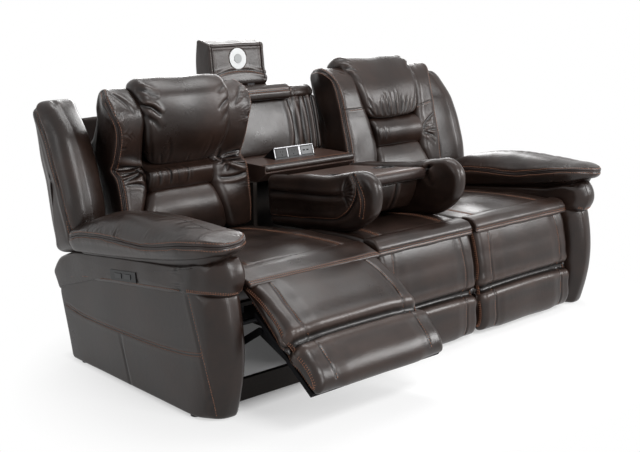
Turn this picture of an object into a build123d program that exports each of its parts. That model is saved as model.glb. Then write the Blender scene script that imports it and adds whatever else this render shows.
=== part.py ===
from build123d import *
from math import atan2, cos, degrees, radians, sin, tan
import os

# Power reclining three-seat leather sofa: two reclining outer seats with tilting headrests, and
# a fixed middle seat whose back folds down into a console, with a pop-up power strip and a
# flip-up reading lamp behind it.
#
# Working frame, millimetres: x = 0 is the sofa's middle, y = 0 the front of the arms at the
# floor (y grows to the rear), z = 0 the floor. Every piece is moved forward by front_to_origin
# when it is written, so that the origin lies under the middle of the whole sofa.

# ---------------------------------------------------------------- driving sizes
arm_span = 2260.0            # outer face of one arm to outer face of the other
arm_width = 174.0
middle_half = 286.0          # half the width of the middle seat's lane
lane_gap = 7.0               # free air between the middle lane and an outer lane
front_to_origin = 430.0      # from the arms' front to the middle of the sofa's whole depth
base_bottom = 12.0           # underside of the base rails
arm_bottom = 5.0             # the arms come nearer to the floor
rail_height = 80.0           # wooden base rails
rail_width = 25.0
glide_radius = 20.0
board = 20.0                 # thickness of frame boards
front_board_thick = 18.0     # boards of the footrests and of the middle front
sheet = 4.0                  # thickness of mechanism plates
pin_fit = 0.05               # radial running clearance of every pin
pin_radius = 8.0
face_gap = 1.0               # side air between neighbouring mechanism plates

# seats
deck_bottom = 352.0
deck_thick = 14.0
seat_front = 119.0           # front face of the seat cushions
seat_front_top = 503.0
seat_rear = 868.0
seat_rear_top = 440.0
seat_crown = 16.0
middle_seat_rear = 503.0     # the console folds down behind it

# footrest, drawn closed: b runs down the pad from its top edge, e runs back through it
footrest_top = (77.0, 505.0)
footrest_lean = 9.0          # degrees that the closed pad leans forward at its top
footrest_length = 486.0
pad_depth = 40.0             # pad behind its chord
pad_crown = 50.0             # pad in front of its chord
crease_at = 300.0            # sewn crease between cushion and toe roll
footrest_inset = 12.0        # pad edge to lane edge
footrest_pivot = (30.0, 525.0)
footrest_link_pin = (132.0, 330.0)   # link pin on the footrest bracket, closed
crank_pivot = (330.0, 330.0)
footrest_open_left = 45.0    # how far the left footrest stands open at rest
link_width = 26.0
crank_width = 30.0
crank_tube = 11.0            # radius of the tube that ties a seat's two cranks
pin_proud = 0.5
loose_fit = 0.6

# seat backs: u runs up the back, v forward from its rear face
back_foot = (985.0, 330.0)
back_lean = 11.6
back_height = 610.0          # the boards stop below the curled tops of the cushions
back_pivot = (900.0, 260.0)
back_cover = 12.0
cushion_low = 112.0          # u of the lower cushions' bottom
lumbar_half = 160.0          # half the width of the lumbar panel and the roll
lumbar_shift = 15.0          # their middle lies this far outward of the lane's
lumbar_depth = 246.0         # v of their front edges, before they bulge
roll_low = 345.0             # u of the seam between lumbar panel and roll
cushion_split = 468.0        # u of the fold between lower and upper cushions
cushion_fall = 52.0          # how much lower the lower cushions' top is at its front, for the tilt
bolster_air = 2.0            # between the outer bolster and the arm pad
head_low = 492.0             # u of the upper cushions' rear lower edge
head_rise = 44.0             # how much higher their front edge starts, for the tilt
head_depth = 232.0           # v of the upper cushions' lower front edge
cushion_top = 748.0
head_axis = (478.0, 110.0)   # (u, v) of the headrest hinge
head_board_v = 66.0          # rear face of the headrest board
head_board_top = 700.0
head_board = 16.0
head_plate = 3.0             # sheet of the headrest ears
head_socket = 8.0            # width of the bosses that carry their pins
head_pin_radius = 5.0
hinge_inset = 90.0           # from a lane's edge to its headrest hinge
wing_from = 150.0            # u above which the boards reach out to the wing
head_tilt_left = 38.0        # how far the left headrest stands forward at rest
head_tilt_most = 45.0

# wings: the side bolsters of the backs, beyond the lane; (y, z) at their crest
wing_gap = 6.0               # from the lane's edge to the wing
wing_overhang = 35.0         # how far the wing stands out past the arm
wing_crest_in = 85.0         # from its outer face in to where it stands furthest forward
wing_slant = 72.0            # how much further back its inner edge lies

# middle back, shelf, console
shelf_top = 712.0
shelf_front = 742.0
shelf_bottom = 636.0
shelf_foot = 800.0           # front edge of the uprights that carry the shelf
valance_top = 250.0
cap_bottom = 958.0
cap_top = 1026.0
cap_right = 122.0            # the cap ends short of the lane's right side
console_pivot = (566.0, 560.0)
console_slope = 6.0
console_gap = 2.0            # air between the console and the lane's edges
bolster_width = 78.0
console_rear = -124.0
tray_front = 335.0
tray_top = 125.0
tray_thick = 30.0
ear_inset = 48.0             # from the console's bolsters in to its hinge ears
slot_sides = (18.0, 12.0)    # clear space in the cushion on both sides of an ear
cup_inset = 56.0             # from the bolsters in to the middle of a cup holder
cup_forward = 140.0          # from the console's pivot forward to the cup holders
cup_radius = 44.0
cup_wall = 2.0
cup_depth = 64.0
cup_rim = 4.0                # width of the rim that lies on the table
cup_fit = 0.2

# power strip in the shelf
strip_half = 117.0
strip_gap = 2.0
strip_pin_radius = 3.0
strip_pivot = (930.0, 700.0)
strip_reach = 88.0
strip_open = 36.0

# lamp head
lamp_x = -122.0
lamp_half = 160.0
lamp_foot = (1095.0, 1036.0)     # lower front edge of the lamp head
lamp_depth = 108.0
lamp_chin = 58.0             # height of its chin
lamp_top_front = 1210.0
lamp_top_rear = 1234.0
lens_height = 1146.0
lens_radius = 47.0
lens_depth = 6.0
lens_fit = 0.3
lamp_button_radius = 20.5
lamp_button_travel = 1.5
lamp_knuckle = 7.0           # outer radius of its hinge
lamp_pin_radius = 3.5

# switch panels on the arms
plate_size = (172.0, 40.0, 4.0)
plate_centre = (514.0, 435.0)
plate_slope = -7.0
rocker_size = (44.0, 18.0, 9.0)
rocker_gap = 0.6
rocker_spread = 31.0         # each rocker's centre from the panel's centre
rocker_sink = 6.0            # depth of its pocket in the arm

# arms
arm_frame_in = 95.0          # from an arm's outer face in to its wooden frame
pad_reach_in = 26.0          # how far an arm pad hangs over the seat's lane
pad_reach_out = 38.0         # and past the arm's outer face

# ---------------------------------------------------------------- worked out from them
arm_out = arm_span / 2
lane_in = middle_half + lane_gap
lane_out = arm_out - arm_width
lane_mid = (lane_in + lane_out) / 2
wing_out = arm_out + wing_overhang
wing_crest = wing_out - wing_crest_in
shelf_half = middle_half - board
console_half = middle_half - console_gap
console_inner = console_half - bolster_width
console_ear_x = console_inner - ear_inset
console_slot = (console_ear_x - slot_sides[0], console_ear_x + slot_sides[1])
cup_at = (console_inner - cup_inset, cup_forward)
rail_top = base_bottom + rail_height
deck_top = deck_bottom + deck_thick
# mechanism plates counted inward from each lane edge
plate_1 = 8.0
plate_2 = plate_1 + sheet + face_gap
plate_3 = plate_2 + sheet + face_gap
plate_4 = plate_3 + sheet + face_gap

nodes = {}


# ---------------------------------------------------------------- shapes
def ring(points, bows, at, axis):
    """Closed wire across an axis: sides join the points in turn, each bowed outward by its sag."""
    place = {"X": lambda a, b: Vector(at, a, b), "Y": lambda a, b: Vector(a, at, b),
             "Z": lambda a, b: Vector(a, b, at)}[axis]
    edges = []
    for i, (p, bow) in enumerate(zip(points, bows)):
        q = points[(i + 1) % len(points)]
        if abs(bow) < 0.01:
            edges.append(Edge.make_line(place(*p), place(*q)))
            continue
        da, db = q[0] - p[0], q[1] - p[1]
        length = (da * da + db * db) ** 0.5
        middle = ((p[0] + q[0]) / 2 + db / length * bow, (p[1] + q[1]) / 2 - da / length * bow)
        edges.append(Edge.make_three_point_arc(place(*p), place(*middle), place(*q)))
    return Wire(edges)


def form(points, bows, stations, centre, axis="X"):
    """A soft body lofted along an axis: an outline, drawn in about a centre at each station.
    The outline is a list of points, or a function that gives it for a station."""
    rings = []
    for at, scale in stations:
        outline = points(at) if callable(points) else points
        drawn = [(centre[0] + (a - centre[0]) * scale, centre[1] + (b - centre[1]) * scale)
                 for a, b in outline]
        rings.append(ring(drawn, [bow * scale for bow in bows], at, axis))
    return Solid.make_loft(rings, ruled=True)


def crown(low, high, roll=34.0, end=0.86, seams=(), dip=0.018):
    """Stations of a cushion: both ends drawn in over a roll, a shallow valley at each sewn seam."""
    half = (high - low) / 2
    roll = min(roll, half * 0.8)
    steps = [(0.0, end), (0.22, 1 - (1 - end) * 0.46), (0.55, 1 - (1 - end) * 0.16), (1.0, 1.0)]
    places = [(low + share * roll, scale) for share, scale in steps]
    for seam in sorted(seams):
        places += [(seam - 9.0, 1.0), (seam, 1 - dip), (seam + 9.0, 1.0)]
    places += [(high - share * roll, scale) for share, scale in reversed(steps)]
    return places


def plate(points, low, high, axis="X", bows=None):
    """A flat board or sheet between two stations of an axis."""
    return form(points, bows or [0.0] * len(points), [(low, 1.0), (high, 1.0)], (0, 0), axis)


def block(x0, x1, y0, y1, z0, z1):
    return Pos((x0 + x1) / 2, (y0 + y1) / 2, (z0 + z1) / 2) * Box(x1 - x0, y1 - y0, z1 - z0)


def rod(x0, x1, centre, radius):
    """A round bar along X."""
    return Pos((x0 + x1) / 2, *centre) * Rot(0, 90, 0) * Cylinder(radius, x1 - x0)


def strap(ends, width, low, high):
    """A flat link with round ends, as what plate() takes: outline, two stations, axis and bows."""
    (ay, az), (by, bz) = ends
    length = ((by - ay) ** 2 + (bz - az) ** 2) ** 0.5
    ty, tz = (by - ay) / length, (bz - az) / length
    r = width / 2
    corners = []
    for (cy, cz), sign in ((ends[0], -1), (ends[1], 1)):
        corners += [(cy + sign * -tz * -r, cz + sign * ty * -r),
                    (cy + sign * ty * r, cz + sign * tz * r),
                    (cy + sign * -tz * r, cz + sign * ty * r)]
    bow = r * (1 - cos(radians(45)))
    return corners, low, high, "X", [bow, bow, 0.0, bow, bow, 0.0]


def turn(shape, centre, degrees):
    """Turn about an X line through (y, z): a positive angle swings what hangs below it forward."""
    axis = Axis((0, *centre), (-1, 0, 0))
    return shape.rotate(axis, degrees)


def both(shape):
    return [shape, mirror(shape, about=Plane.YZ)]


def sided(shape, side):
    """Pieces are drawn on the right-hand half, and mirrored for the left."""
    return shape if side == "right" else mirror(shape, about=Plane.YZ)


def add(name, *shapes):
    solids = []
    for shape in shapes:
        solids += list(shape) if isinstance(shape, (list, tuple)) else [shape]
    nodes[name] = solids


def bored(shape, x0, x1, centre, radius=pin_radius + pin_fit):
    return shape - rod(x0 - 1, x1 + 1, centre, radius)


def lane_edges():
    """The two edges of the right-hand lane, and the way inward from each."""
    return ((lane_in, 1), (lane_out, -1))


def span(edge, inward, start, stop):
    """Low and high x of a plate set in from a lane edge."""
    ends = (edge + inward * start, edge + inward * stop)
    return min(ends), max(ends)


# ---------------------------------------------------------------- fixed base
rail_front = 100.0           # front face of the front rail
rail_rear = 905.0            # front face of the rear rail
deck_front = 135.0
valance_thick = 10.0


def base():
    rear_face = rail_rear + board + 5
    boards = [block(-lane_out, lane_out, rail_front, rail_front + board, base_bottom, rail_top),
              block(-lane_out, lane_out, rail_rear, rear_face, base_bottom, rail_top)]
    for x0, x1 in ((lane_in, lane_in + rail_width), (lane_out - rail_width, lane_out)):
        boards += both(block(x0, x1, rail_front + board, rail_rear, base_bottom, rail_top))
    # the middle seat's side frames carry its deck, the shelf and the fixed back
    back_line = back_cover + board
    board_rear = pad_depth + front_board_thick
    side_frame = plate([(rail_front + board, base_bottom), (rail_rear, base_bottom),
                        (rail_rear, valance_top - 40), (rear_face, valance_top),
                        lean_at(valance_top, back_line),
                        lean_at(shelf_bottom, back_line), (shelf_foot, shelf_bottom),
                        (shelf_foot, deck_bottom), pad_at(deck_bottom, board_rear),
                        pad_at(rail_top, board_rear), (rail_front + board, rail_top)],
                       middle_half - board, middle_half)
    boards += both(side_frame)
    boards += both(arm_frame())
    add("base_frame", boards)
    glides = []
    for x in (lane_in + rail_width / 2, lane_out - rail_width / 2):
        for y in (150, 860):
            glides += both(Pos(x, y, base_bottom / 2) * Cylinder(glide_radius, base_bottom))
    for y in (130, 870):
        glides += both(Pos(arm_out - 35, y, arm_bottom / 2) * Cylinder(glide_radius, arm_bottom))
    add("floor_glides", glides)
    middle_deck = block(-middle_half, middle_half, deck_front, shelf_foot - 2, deck_bottom, deck_top)
    outer_deck = block(lane_in + 2, lane_out - 2, deck_front, seat_rear, deck_bottom, deck_top)
    add("seat_boards", middle_deck, pad_board(-middle_half + 9, middle_half - 9), both(outer_deck))
    valance = block(-lane_out, lane_out, rear_face, rear_face + valance_thick, base_bottom + 2,
                    valance_top)
    middle_cover = plate([lean_at(valance_top, back_cover), lean_at(valance_top, 0),
                          lean_at(cap_bottom, 0), lean_at(cap_bottom, back_cover)],
                         -middle_half + 2, middle_half - 2)
    add("rear_covers", valance, middle_cover)


arm_bend = (180.0, 541.0)
arm_top_front = (-5.0, 598.0)
arm_top_rear = (880.0, 462.0)
arm_outline = [(14, arm_bottom), (939, arm_bottom), (1015, 273), (1056, 344), arm_top_rear, arm_bend,
               arm_top_front]
arm_bows = [0, 0, 0, 0, 0, 0, 44]


def arm_frame():
    return plate([(60, arm_bottom), (900, arm_bottom), (960, 300), (860, 430), (190, 500), (60, 520)],
                 arm_out - arm_frame_in, arm_out - arm_frame_in + board)


def on_arm(along, share, lift=0.5):
    """A point above the arm's top line, so far from the bend towards one of its ends."""
    return (arm_bend[0] + (along[0] - arm_bend[0]) * share,
            arm_bend[1] + (along[1] - arm_bend[1]) * share + lift)


def on_plate(dy, dz, dx=0.0):
    """Where a point of the right-hand switch panel lies, from its centre."""
    tilt = radians(plate_slope)
    return (arm_out + dx, plate_centre[0] + dy * cos(tilt) - dz * sin(tilt),
            plate_centre[1] + dy * sin(tilt) + dz * cos(tilt))


def panel_box(length, width, x0, x1, dy=0.0):
    """A box in line with the sloping switch panel."""
    centre = on_plate(dy, 0, (x0 + x1) / 2 - arm_out)
    return Pos(*centre) * Rot(plate_slope, 0, 0) * Box(x1 - x0, length, width)


def arms():
    cover = form(arm_outline, arm_bows, [(lane_out, 0.97), (lane_out + 14, 0.99),
                                         (lane_out + 34, 1.0), (arm_out - 34, 1.0),
                                         (arm_out - 12, 0.994), (arm_out, 0.985)], arm_bend)
    cover = cover - arm_frame()
    pad_outline = [on_arm(arm_top_rear, 0), on_arm(arm_top_rear, 1.0), (884, 494), (826, 550),
                   (-46, 642), on_arm(arm_top_front, 1.09)]
    pad_bows = [0, 4, 8, 100, 6, 0]
    pad = form(pad_outline, pad_bows, crown(lane_out - pad_reach_in, arm_out + pad_reach_out, roll=84, end=0.72), on_arm(arm_top_rear, 0))
    panel = panel_box(plate_size[0], plate_size[1], arm_out, arm_out + plate_size[2])
    rocker_x = (arm_out - rocker_sink / 2, arm_out - rocker_sink / 2 + rocker_size[2])
    for dy in (-rocker_spread, rocker_spread):
        hole = panel_box(rocker_size[0] + 2 * rocker_gap, rocker_size[1] + 2 * rocker_gap,
                         arm_out - rocker_sink, arm_out + plate_size[2] + 1, dy)
        cover = cover - hole
        panel = panel - hole
    add("switch_panels", both(panel))
    for side in ("left", "right"):
        add("arm_cover_" + side, sided(cover, side))
        add("arm_pad_" + side, sided(pad, side))
        for job, dy in (("recline", -rocker_spread), ("headrest", rocker_spread)):
            rocker = panel_box(rocker_size[0], rocker_size[1], *rocker_x, dy)
            add(f"{job}_switch_{side}", sided(rocker, side))


def seats():
    outline = [(seat_front, deck_top), (seat_rear, deck_top), (seat_rear, seat_rear_top),
               (seat_front, seat_front_top)]
    bows = [0, 0, seat_crown, 0]
    outer = form(outline, bows, crown(lane_in + 2, lane_out - 2, end=0.9,
                                      seams=(lane_mid - 210, lane_mid + 210)), (300, deck_top))
    for side in ("left", "right"):
        add("seat_cushion_" + side, sided(outer, side))
    outline = [(seat_front, deck_top), (middle_seat_rear, deck_top), (middle_seat_rear, 476),
               (seat_front, seat_front_top)]
    add("seat_cushion_middle", form(outline, bows, crown(-middle_half + 1, middle_half - 1, end=0.9,
                                                         seams=(-200, 200)), (300, deck_top)))


# ---------------------------------------------------------------- footrests
def pad_point(b, e):
    """A point of the closed footrest from its own b and e."""
    lean = radians(footrest_lean)
    return (footrest_top[0] - b * sin(lean) + e * cos(lean),
            footrest_top[1] - b * cos(lean) - e * sin(lean))


def pad_at(z, e):
    """The point at a height z on the line that runs e behind the closed pad's chord."""
    lean = radians(footrest_lean)
    return pad_point((footrest_top[1] - e * sin(lean) - z) / cos(lean), e)


def pad_form(low, high):
    mid = (low + high) / 2
    outline = [pad_point(b, e) for b, e in
               ((8, pad_depth), (0, 0), (crease_at, -24), (footrest_length, -4),
                (footrest_length, pad_depth))]
    bows = [0, 34, 24, 5, 0]
    seam = (high - low) / 2 - 96
    return form(outline, bows, crown(low, high, end=0.9, seams=(mid - seam, mid + seam)),
                pad_point(240, pad_depth))


board_from = 112.0           # b where the board starts, below the seat cushion
board_short = 10.0           # the board ends short of the pad's lower edge


def pad_board(low, high):
    board_rear = pad_depth + front_board_thick
    corners = [pad_point(b, e) for b, e in
               ((footrest_length - board_short, pad_depth), (footrest_length - board_short, board_rear),
                (board_from, board_rear), (board_from, pad_depth))]
    return plate(corners, low, high)


def footrests():
    """Pad and board turn about the seat's front seam; crank, link and bracket are a parallelogram
    with its fourth side in the frame. The link's front hole is the loose one."""
    low, high = lane_in + footrest_inset, lane_out - footrest_inset
    reach = (footrest_link_pin[0] - footrest_pivot[0], footrest_link_pin[1] - footrest_pivot[1])
    crank_pin = (crank_pivot[0] + reach[0], crank_pivot[1] + reach[1])
    board_rear = pad_depth + front_board_thick
    flange = board_rear + 8
    pin_y, pin_z = footrest_link_pin
    bracket_outline = [pad_point(310, board_rear), pad_point(310, flange), (pin_y + 14, pin_z - 12),
                       (pin_y + 14, pin_z + 12), pad_point(162, flange), pad_point(162, board_rear)]
    brackets, links, cranks = [], [], []
    for edge, inward in lane_edges():
        x0, x1 = span(edge, inward, plate_4, plate_4 + sheet)
        pin0, pin1 = span(edge, inward, plate_3 - pin_proud, plate_4)
        brackets.append(plate(bracket_outline, x0, x1) + rod(pin0, pin1, footrest_link_pin, pin_radius))
        x0, x1 = span(edge, inward, plate_3, plate_3 + sheet)
        link = plate(*strap((crank_pin, footrest_link_pin), link_width, x0, x1))
        link = bored(link, x0, x1, crank_pin)
        links.append(bored(link, x0, x1, footrest_link_pin, pin_radius + loose_fit))
        x0, x1 = span(edge, inward, plate_2, plate_2 + sheet)
        arm = plate(*strap((crank_pivot, crank_pin), crank_width, x0, x1))
        arm = bored(arm, x0, x1, crank_pivot)
        pin0, pin1 = span(edge, inward, plate_2 + sheet, plate_3 + sheet + pin_proud)
        cranks.append(arm + rod(pin0, pin1, crank_pin, pin_radius))
    tube_at = ((crank_pivot[0] + crank_pin[0]) / 2, (crank_pivot[1] + crank_pin[1]) / 2)
    tube = rod(lane_in + plate_2 + sheet, lane_out - plate_2 - sheet, tube_at, crank_tube)
    crank = cranks[0] + tube + cranks[1]
    pad = pad_form(low, high)
    rear_board = pad_board(low + 4, high - 4)
    for side, opened in (("left", footrest_open_left), ("right", 0.0)):
        along, across = cos(radians(opened)), sin(radians(opened))
        shift = (reach[0] * along + reach[1] * across - reach[0],
                 reach[1] * along - reach[0] * across - reach[1])
        add("footrest_pad_" + side, sided(turn(pad, footrest_pivot, opened), side))
        add("footrest_board_" + side, sided(turn(rear_board, footrest_pivot, opened), side))
        add("footrest_brackets_" + side,
            [sided(turn(b, footrest_pivot, opened), side) for b in brackets])
        add("drive_crank_" + side, sided(turn(crank, crank_pivot, opened), side))
        add("push_links_" + side, [sided(Pos(0, *shift) * link, side) for link in links])


def middle_front():
    """The fixed front of the middle seat, cut like a closed footrest."""
    add("middle_front_pad", pad_form(-middle_half + 3, middle_half - 3))


def mechanism():
    """Fixed steel: side plates of both outer seats with their pins, and the hinge plates of the
    console and of the lamp. The motors hang between the side plates."""
    y, z = crank_pivot[0], deck_bottom - 52
    outline = [(deck_front + 15, z), (210, z), (215, rail_top), (275, rail_top), (285, z), (820, z),
               (830, rail_top), (rail_rear - 1, rail_top), (925, valance_top), (925, z),
               (870, deck_bottom), (deck_front + 15, deck_bottom)]
    plates = []
    for edge, inward in lane_edges():
        side_plate = plate(outline, *span(edge, inward, plate_1, plate_1 + sheet))
        for centre in (crank_pivot, back_pivot):
            pin = span(edge, inward, plate_1 + sheet, plate_2 + sheet + pin_proud)
            side_plate += rod(*pin, centre, pin_radius)
        plates += both(side_plate)
    y, z = console_pivot
    ear = console_ear_x - face_gap
    console_plate = plate([(y - 40, deck_top), (y + 40, deck_top), (y + 15, z + 14), (y - 15, z + 14)],
                          ear - sheet, ear)
    console_plate += rod(ear, console_ear_x + sheet + pin_proud, console_pivot, pin_radius)
    plates += both(console_plate)
    for x0, x1 in lamp_knuckles():
        knuckle = block(x0, x1, lamp_hinge[0] - lamp_knuckle, lamp_hinge[0] + lamp_knuckle, cap_top,
                        lamp_hinge[1]) + rod(x0, x1, lamp_hinge, lamp_knuckle)
        plates.append(bored(knuckle, x0, x1, lamp_hinge, lamp_pin_radius + pin_fit))
    add("mechanism_plates", plates)
    half = (lane_out - lane_in) / 2 - plate_1 - sheet
    drive = block(lane_mid - 26, lane_mid + 26, 560, 690, 176, 238)
    drive += block(lane_mid - 16, lane_mid + 16, 470, 560, 192, 222)
    drive += block(lane_mid - half, lane_mid + half, 690, 712, 190, 230)
    for x in (lane_mid - half - sheet, lane_mid + half):
        drive += block(x, x + sheet, 690, 712, 190, deck_bottom - 52)
    add("recline_motors", both(drive))


# ---------------------------------------------------------------- seat backs
def back_point(u, v):
    lean = radians(back_lean)
    return (back_foot[0] + u * sin(lean) - v * cos(lean), back_foot[1] + u * cos(lean) + v * sin(lean))


def lean_at(z, v):
    """The point at a height z on the line that runs v in front of the back's rear face."""
    lean = radians(back_lean)
    return back_point((z - back_foot[1] - v * sin(lean)) / cos(lean), v)


def back_form(corners, bows, stations, centre):
    """A loft along X of an outline given in (u, v) of the seat back."""
    return form([back_point(u, v) for u, v in corners], bows, stations, back_point(*centre))


def back_plate(corners, low, high):
    return plate([back_point(u, v) for u, v in corners], low, high)


def stepped(rear, front, foot, top):
    """A board of the seat back: inside the lane at its foot, out to the wing above the arm."""
    narrow = back_plate([(foot, front), (foot, rear), (wing_from, rear), (wing_from, front)],
                        lane_in + 4, lane_out - 4)
    wide = back_plate([(wing_from, front), (wing_from, rear), (top, rear), (top, front)],
                      lane_in + 4, lane_out + wing_gap)
    return narrow + wide


def wing_outline(x):
    """The wing's outline at a station: its front edge slants back towards the seat."""
    back = wing_slant * max(0.0, (wing_crest - x) / (wing_crest - lane_out - wing_gap))
    return [(985, 432), (1130, 968), (1066 + back / 3, 1040), (905 + back, 908), (800 + back, 584)]


def low_cushions():
    """Lumbar panel, the roll above it and the two side bolsters; their tops fall to the front."""
    front = back_cover + board
    high = cushion_split - 6
    low = cushion_low
    deep, fall = lumbar_depth, high - cushion_fall
    inner, outer = lane_mid + lumbar_shift - lumbar_half, lane_mid + lumbar_shift + lumbar_half
    panel = back_form([(low, deep), (low, front), (roll_low - 1, front), (roll_low - 1, deep)],
                      [4, 0, 0, 20], crown(inner, outer, roll=26, end=0.92), (300, front))
    roll = back_form([(roll_low + 1, deep), (roll_low + 1, front), (high, front), (fall, deep - 6)],
                     [0, 0, 3, 20], crown(inner, outer, roll=26, end=0.92), (roll_low + 1, front))
    bolsters = []
    for x0, x1 in ((lane_in + 6, inner - 2), (outer + 2, lane_out - pad_reach_in - bolster_air)):
        bolsters.append(back_form([(low, deep + 4), (low, front), (high, front), (fall, deep - 6)],
                                  [5, 0, 4, 22], crown(x0, x1, roll=48, end=0.8), (300, front)))
    return [panel, roll], bolsters


def head_cushions():
    """Pillow and two bolsters of a headrest, folded over the top of its board."""
    front = head_board_v + head_board
    fold = head_board_top + 4
    low = head_low + head_rise
    pillow = back_form([(low, head_depth), (head_low + 6, front), (fold, front), (fold, 48),
                        (cushion_top + 14, 48), (cushion_top + 30, 140)], [8, 0, 0, 4, 24, 48],
                       crown(lane_mid - 206, lane_mid + 206, roll=60, end=0.84), (fold, front))
    bolsters = []
    for x0, x1 in ((lane_in + 6, lane_mid - 208), (lane_mid + 208, lane_out - 6)):
        bolsters.append(back_form([(low, head_depth - 7), (head_low, front), (fold, front), (fold, 50),
                                   (cushion_top - 14, 50), (cushion_top - 18, 160)],
                                  [5, 0, 0, 4, 16, 30], crown(x0, x1, roll=50, end=0.8),
                                  (fold, front)))
    return pillow, bolsters


def headrest_hinges():
    """Ears behind the headrest board, their pins, and the bosses on the back board."""
    front = back_cover + board
    u, v = head_axis
    axis = back_point(u, v)
    ears, bosses = [], []
    for x in (lane_in + hinge_inset, lane_out - hinge_inset):
        leg = back_plate([(u - 8, v + 8), (u - 8, head_board_v - 10), (u + 8, head_board_v - 10),
                          (u + 8, v + 8)], x, x + head_plate)
        leg += back_plate([(u - 8, head_board_v), (u - 8, head_board_v - 10),
                           (u + 122, head_board_v - 10), (u + 122, head_board_v)], x, x + head_plate)
        ears.append(leg + rod(x - face_gap - head_socket - pin_proud, x, axis, head_pin_radius))
        x1 = x - face_gap
        boss = back_plate([(u - 12, v + 8), (u - 12, front), (u + 12, front), (u + 12, v + 8)],
                          x1 - head_socket, x1)
        bosses.append(bored(boss, x1 - head_socket, x1, axis, head_pin_radius + pin_fit))
    return ears, bosses


def seat_backs():
    front = back_cover + board
    slab = stepped(back_cover, front, 0, back_height)
    cover = stepped(0, back_cover, -8, back_height + 12)
    panels, bolsters = low_cushions()
    pillow, head_bolsters = head_cushions()
    ears, bosses = headrest_hinges()
    bracket = [(886, 240), (914, 240), back_point(2, front), back_point(104, front), (945, 436),
               (884, 290)]
    brackets = []
    for edge, inward in lane_edges():
        x0, x1 = span(edge, inward, plate_2, plate_2 + sheet)
        brackets.append(bored(plate(bracket, x0, x1), x0, x1, back_pivot))
    head_rear, head_front = head_board_v, head_board_v + head_board
    head_slab = back_plate([(head_low + 8, head_front), (head_low + 8, head_rear),
                            (head_board_top, head_rear), (head_board_top, head_front)],
                           lane_in + 20, lane_out - 20)
    wing = form(wing_outline, [0, 22, 26, 8, 0],
                crown(lane_out + wing_gap, wing_out, roll=62, end=0.86), (1050, 740))
    hinge_at = back_point(*head_axis)
    for side, tilt in (("left", head_tilt_left), ("right", 0.0)):
        add("back_board_" + side, sided(slab, side))
        add("back_cover_" + side, sided(cover, side))
        add("back_panel_" + side, [sided(p, side) for p in panels])
        add("back_bolsters_" + side, [sided(b, side) for b in bolsters])
        add("back_brackets_" + side, [sided(b, side) for b in brackets + bosses])
        add("wing_" + side, sided(wing, side))
        tilted = [turn(piece, hinge_at, -tilt) for piece in [head_slab] + ears]
        add("headrest_board_" + side, [sided(piece, side) for piece in tilted])
        add("head_pillow_" + side, sided(turn(pillow, hinge_at, -tilt), side))
        add("head_bolsters_" + side, [sided(turn(b, hinge_at, -tilt), side) for b in head_bolsters])


# ---------------------------------------------------------------- middle back and power strip
def middle_back():
    front = back_cover + board
    add("middle_back_board",
        plate([lean_at(valance_top, front), lean_at(valance_top, back_cover),
               lean_at(cap_bottom, back_cover), lean_at(cap_bottom, front)],
              -middle_half + 14, middle_half - 14))
    add("well_panel", form([lean_at(shelf_top, front + 44), lean_at(shelf_top, front),
                            lean_at(cap_bottom, front), lean_at(cap_bottom, front + 40)],
                           [0, 0, 0, 10],
                           crown(-middle_half + 2, middle_half - 2, roll=20, end=0.97),
                           lean_at(830, front)))
    cap_rear, cap_front = 1196.0, 1006.0
    cap = form([(cap_front + 8, cap_bottom), (cap_rear - 18, cap_bottom), (cap_rear, cap_top - 20),
                (cap_rear - 10, cap_top), (cap_front + 30, cap_top), (cap_front, cap_top - 44)],
               [0, 4, 3, 0, 10, 6], crown(-middle_half + 2, cap_right, roll=26, end=0.94),
               (1100, cap_bottom))
    low_end = form([(cap_front + 30, cap_bottom), (1120, cap_bottom), (1124, cap_bottom + 42),
                    (cap_front + 44, cap_bottom + 42)], [0, 0, 8, 6],
                   crown(cap_right + 2, middle_half - 2, roll=30, end=0.9), (1070, cap_bottom))
    add("top_cap", cap, low_end)
    y, z = strip_pivot
    side = strip_half + strip_gap
    pocket = block(-side, side, y - strip_reach - 3, y + 15, shelf_top - 64, shelf_top + 1)
    shelf = plate([(shelf_front, shelf_top - 32), (shelf_foot, shelf_bottom),
                   lean_at(shelf_bottom, front), lean_at(shelf_top, front), (shelf_front, shelf_top)],
                  -shelf_half, shelf_half) - pocket
    for x0, x1 in ((-side, -strip_half + 4), (strip_half - 4, side)):
        shelf += rod(x0, x1, strip_pivot, strip_pin_radius)
    add("power_shelf", shelf)


def power_strip():
    """The pop-up block with its two sockets' bar and two ports, standing open."""
    y, z = strip_pivot
    front = y - strip_reach
    strip = plate([(front + 18, shelf_top - 52), (y + 6, shelf_top - 40), (y + 7, shelf_top),
                   (front, shelf_top)], -strip_half, strip_half)
    for x in (-strip_half, strip_half - 5):
        strip = bored(strip, x, x + 5, strip_pivot, strip_pin_radius + pin_fit)
    for x in (66, 90):
        strip -= block(x - 6.75, x + 6.75, front - 5, front + 24, shelf_top - 28, shelf_top - 21)
    add("power_strip", turn(strip, strip_pivot, strip_open))


# ---------------------------------------------------------------- console
def console_point(s, h):
    """s runs forward from the console's pivot along its table, h up from it."""
    slope = radians(console_slope)
    return (console_pivot[0] - s * cos(slope) + h * sin(slope),
            console_pivot[1] + s * sin(slope) + h * cos(slope))


def console_form(corners, bows, stations, centre):
    return form([console_point(s, h) for s, h in corners], bows, stations, console_point(*centre))


def console_round(x, s, radius, h0, h1):
    """A cylinder that stands square to the table."""
    return Pos(x, *console_point(s, (h0 + h1) / 2)) * Rot(-console_slope, 0, 0) \
        * Cylinder(radius, h1 - h0)


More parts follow.
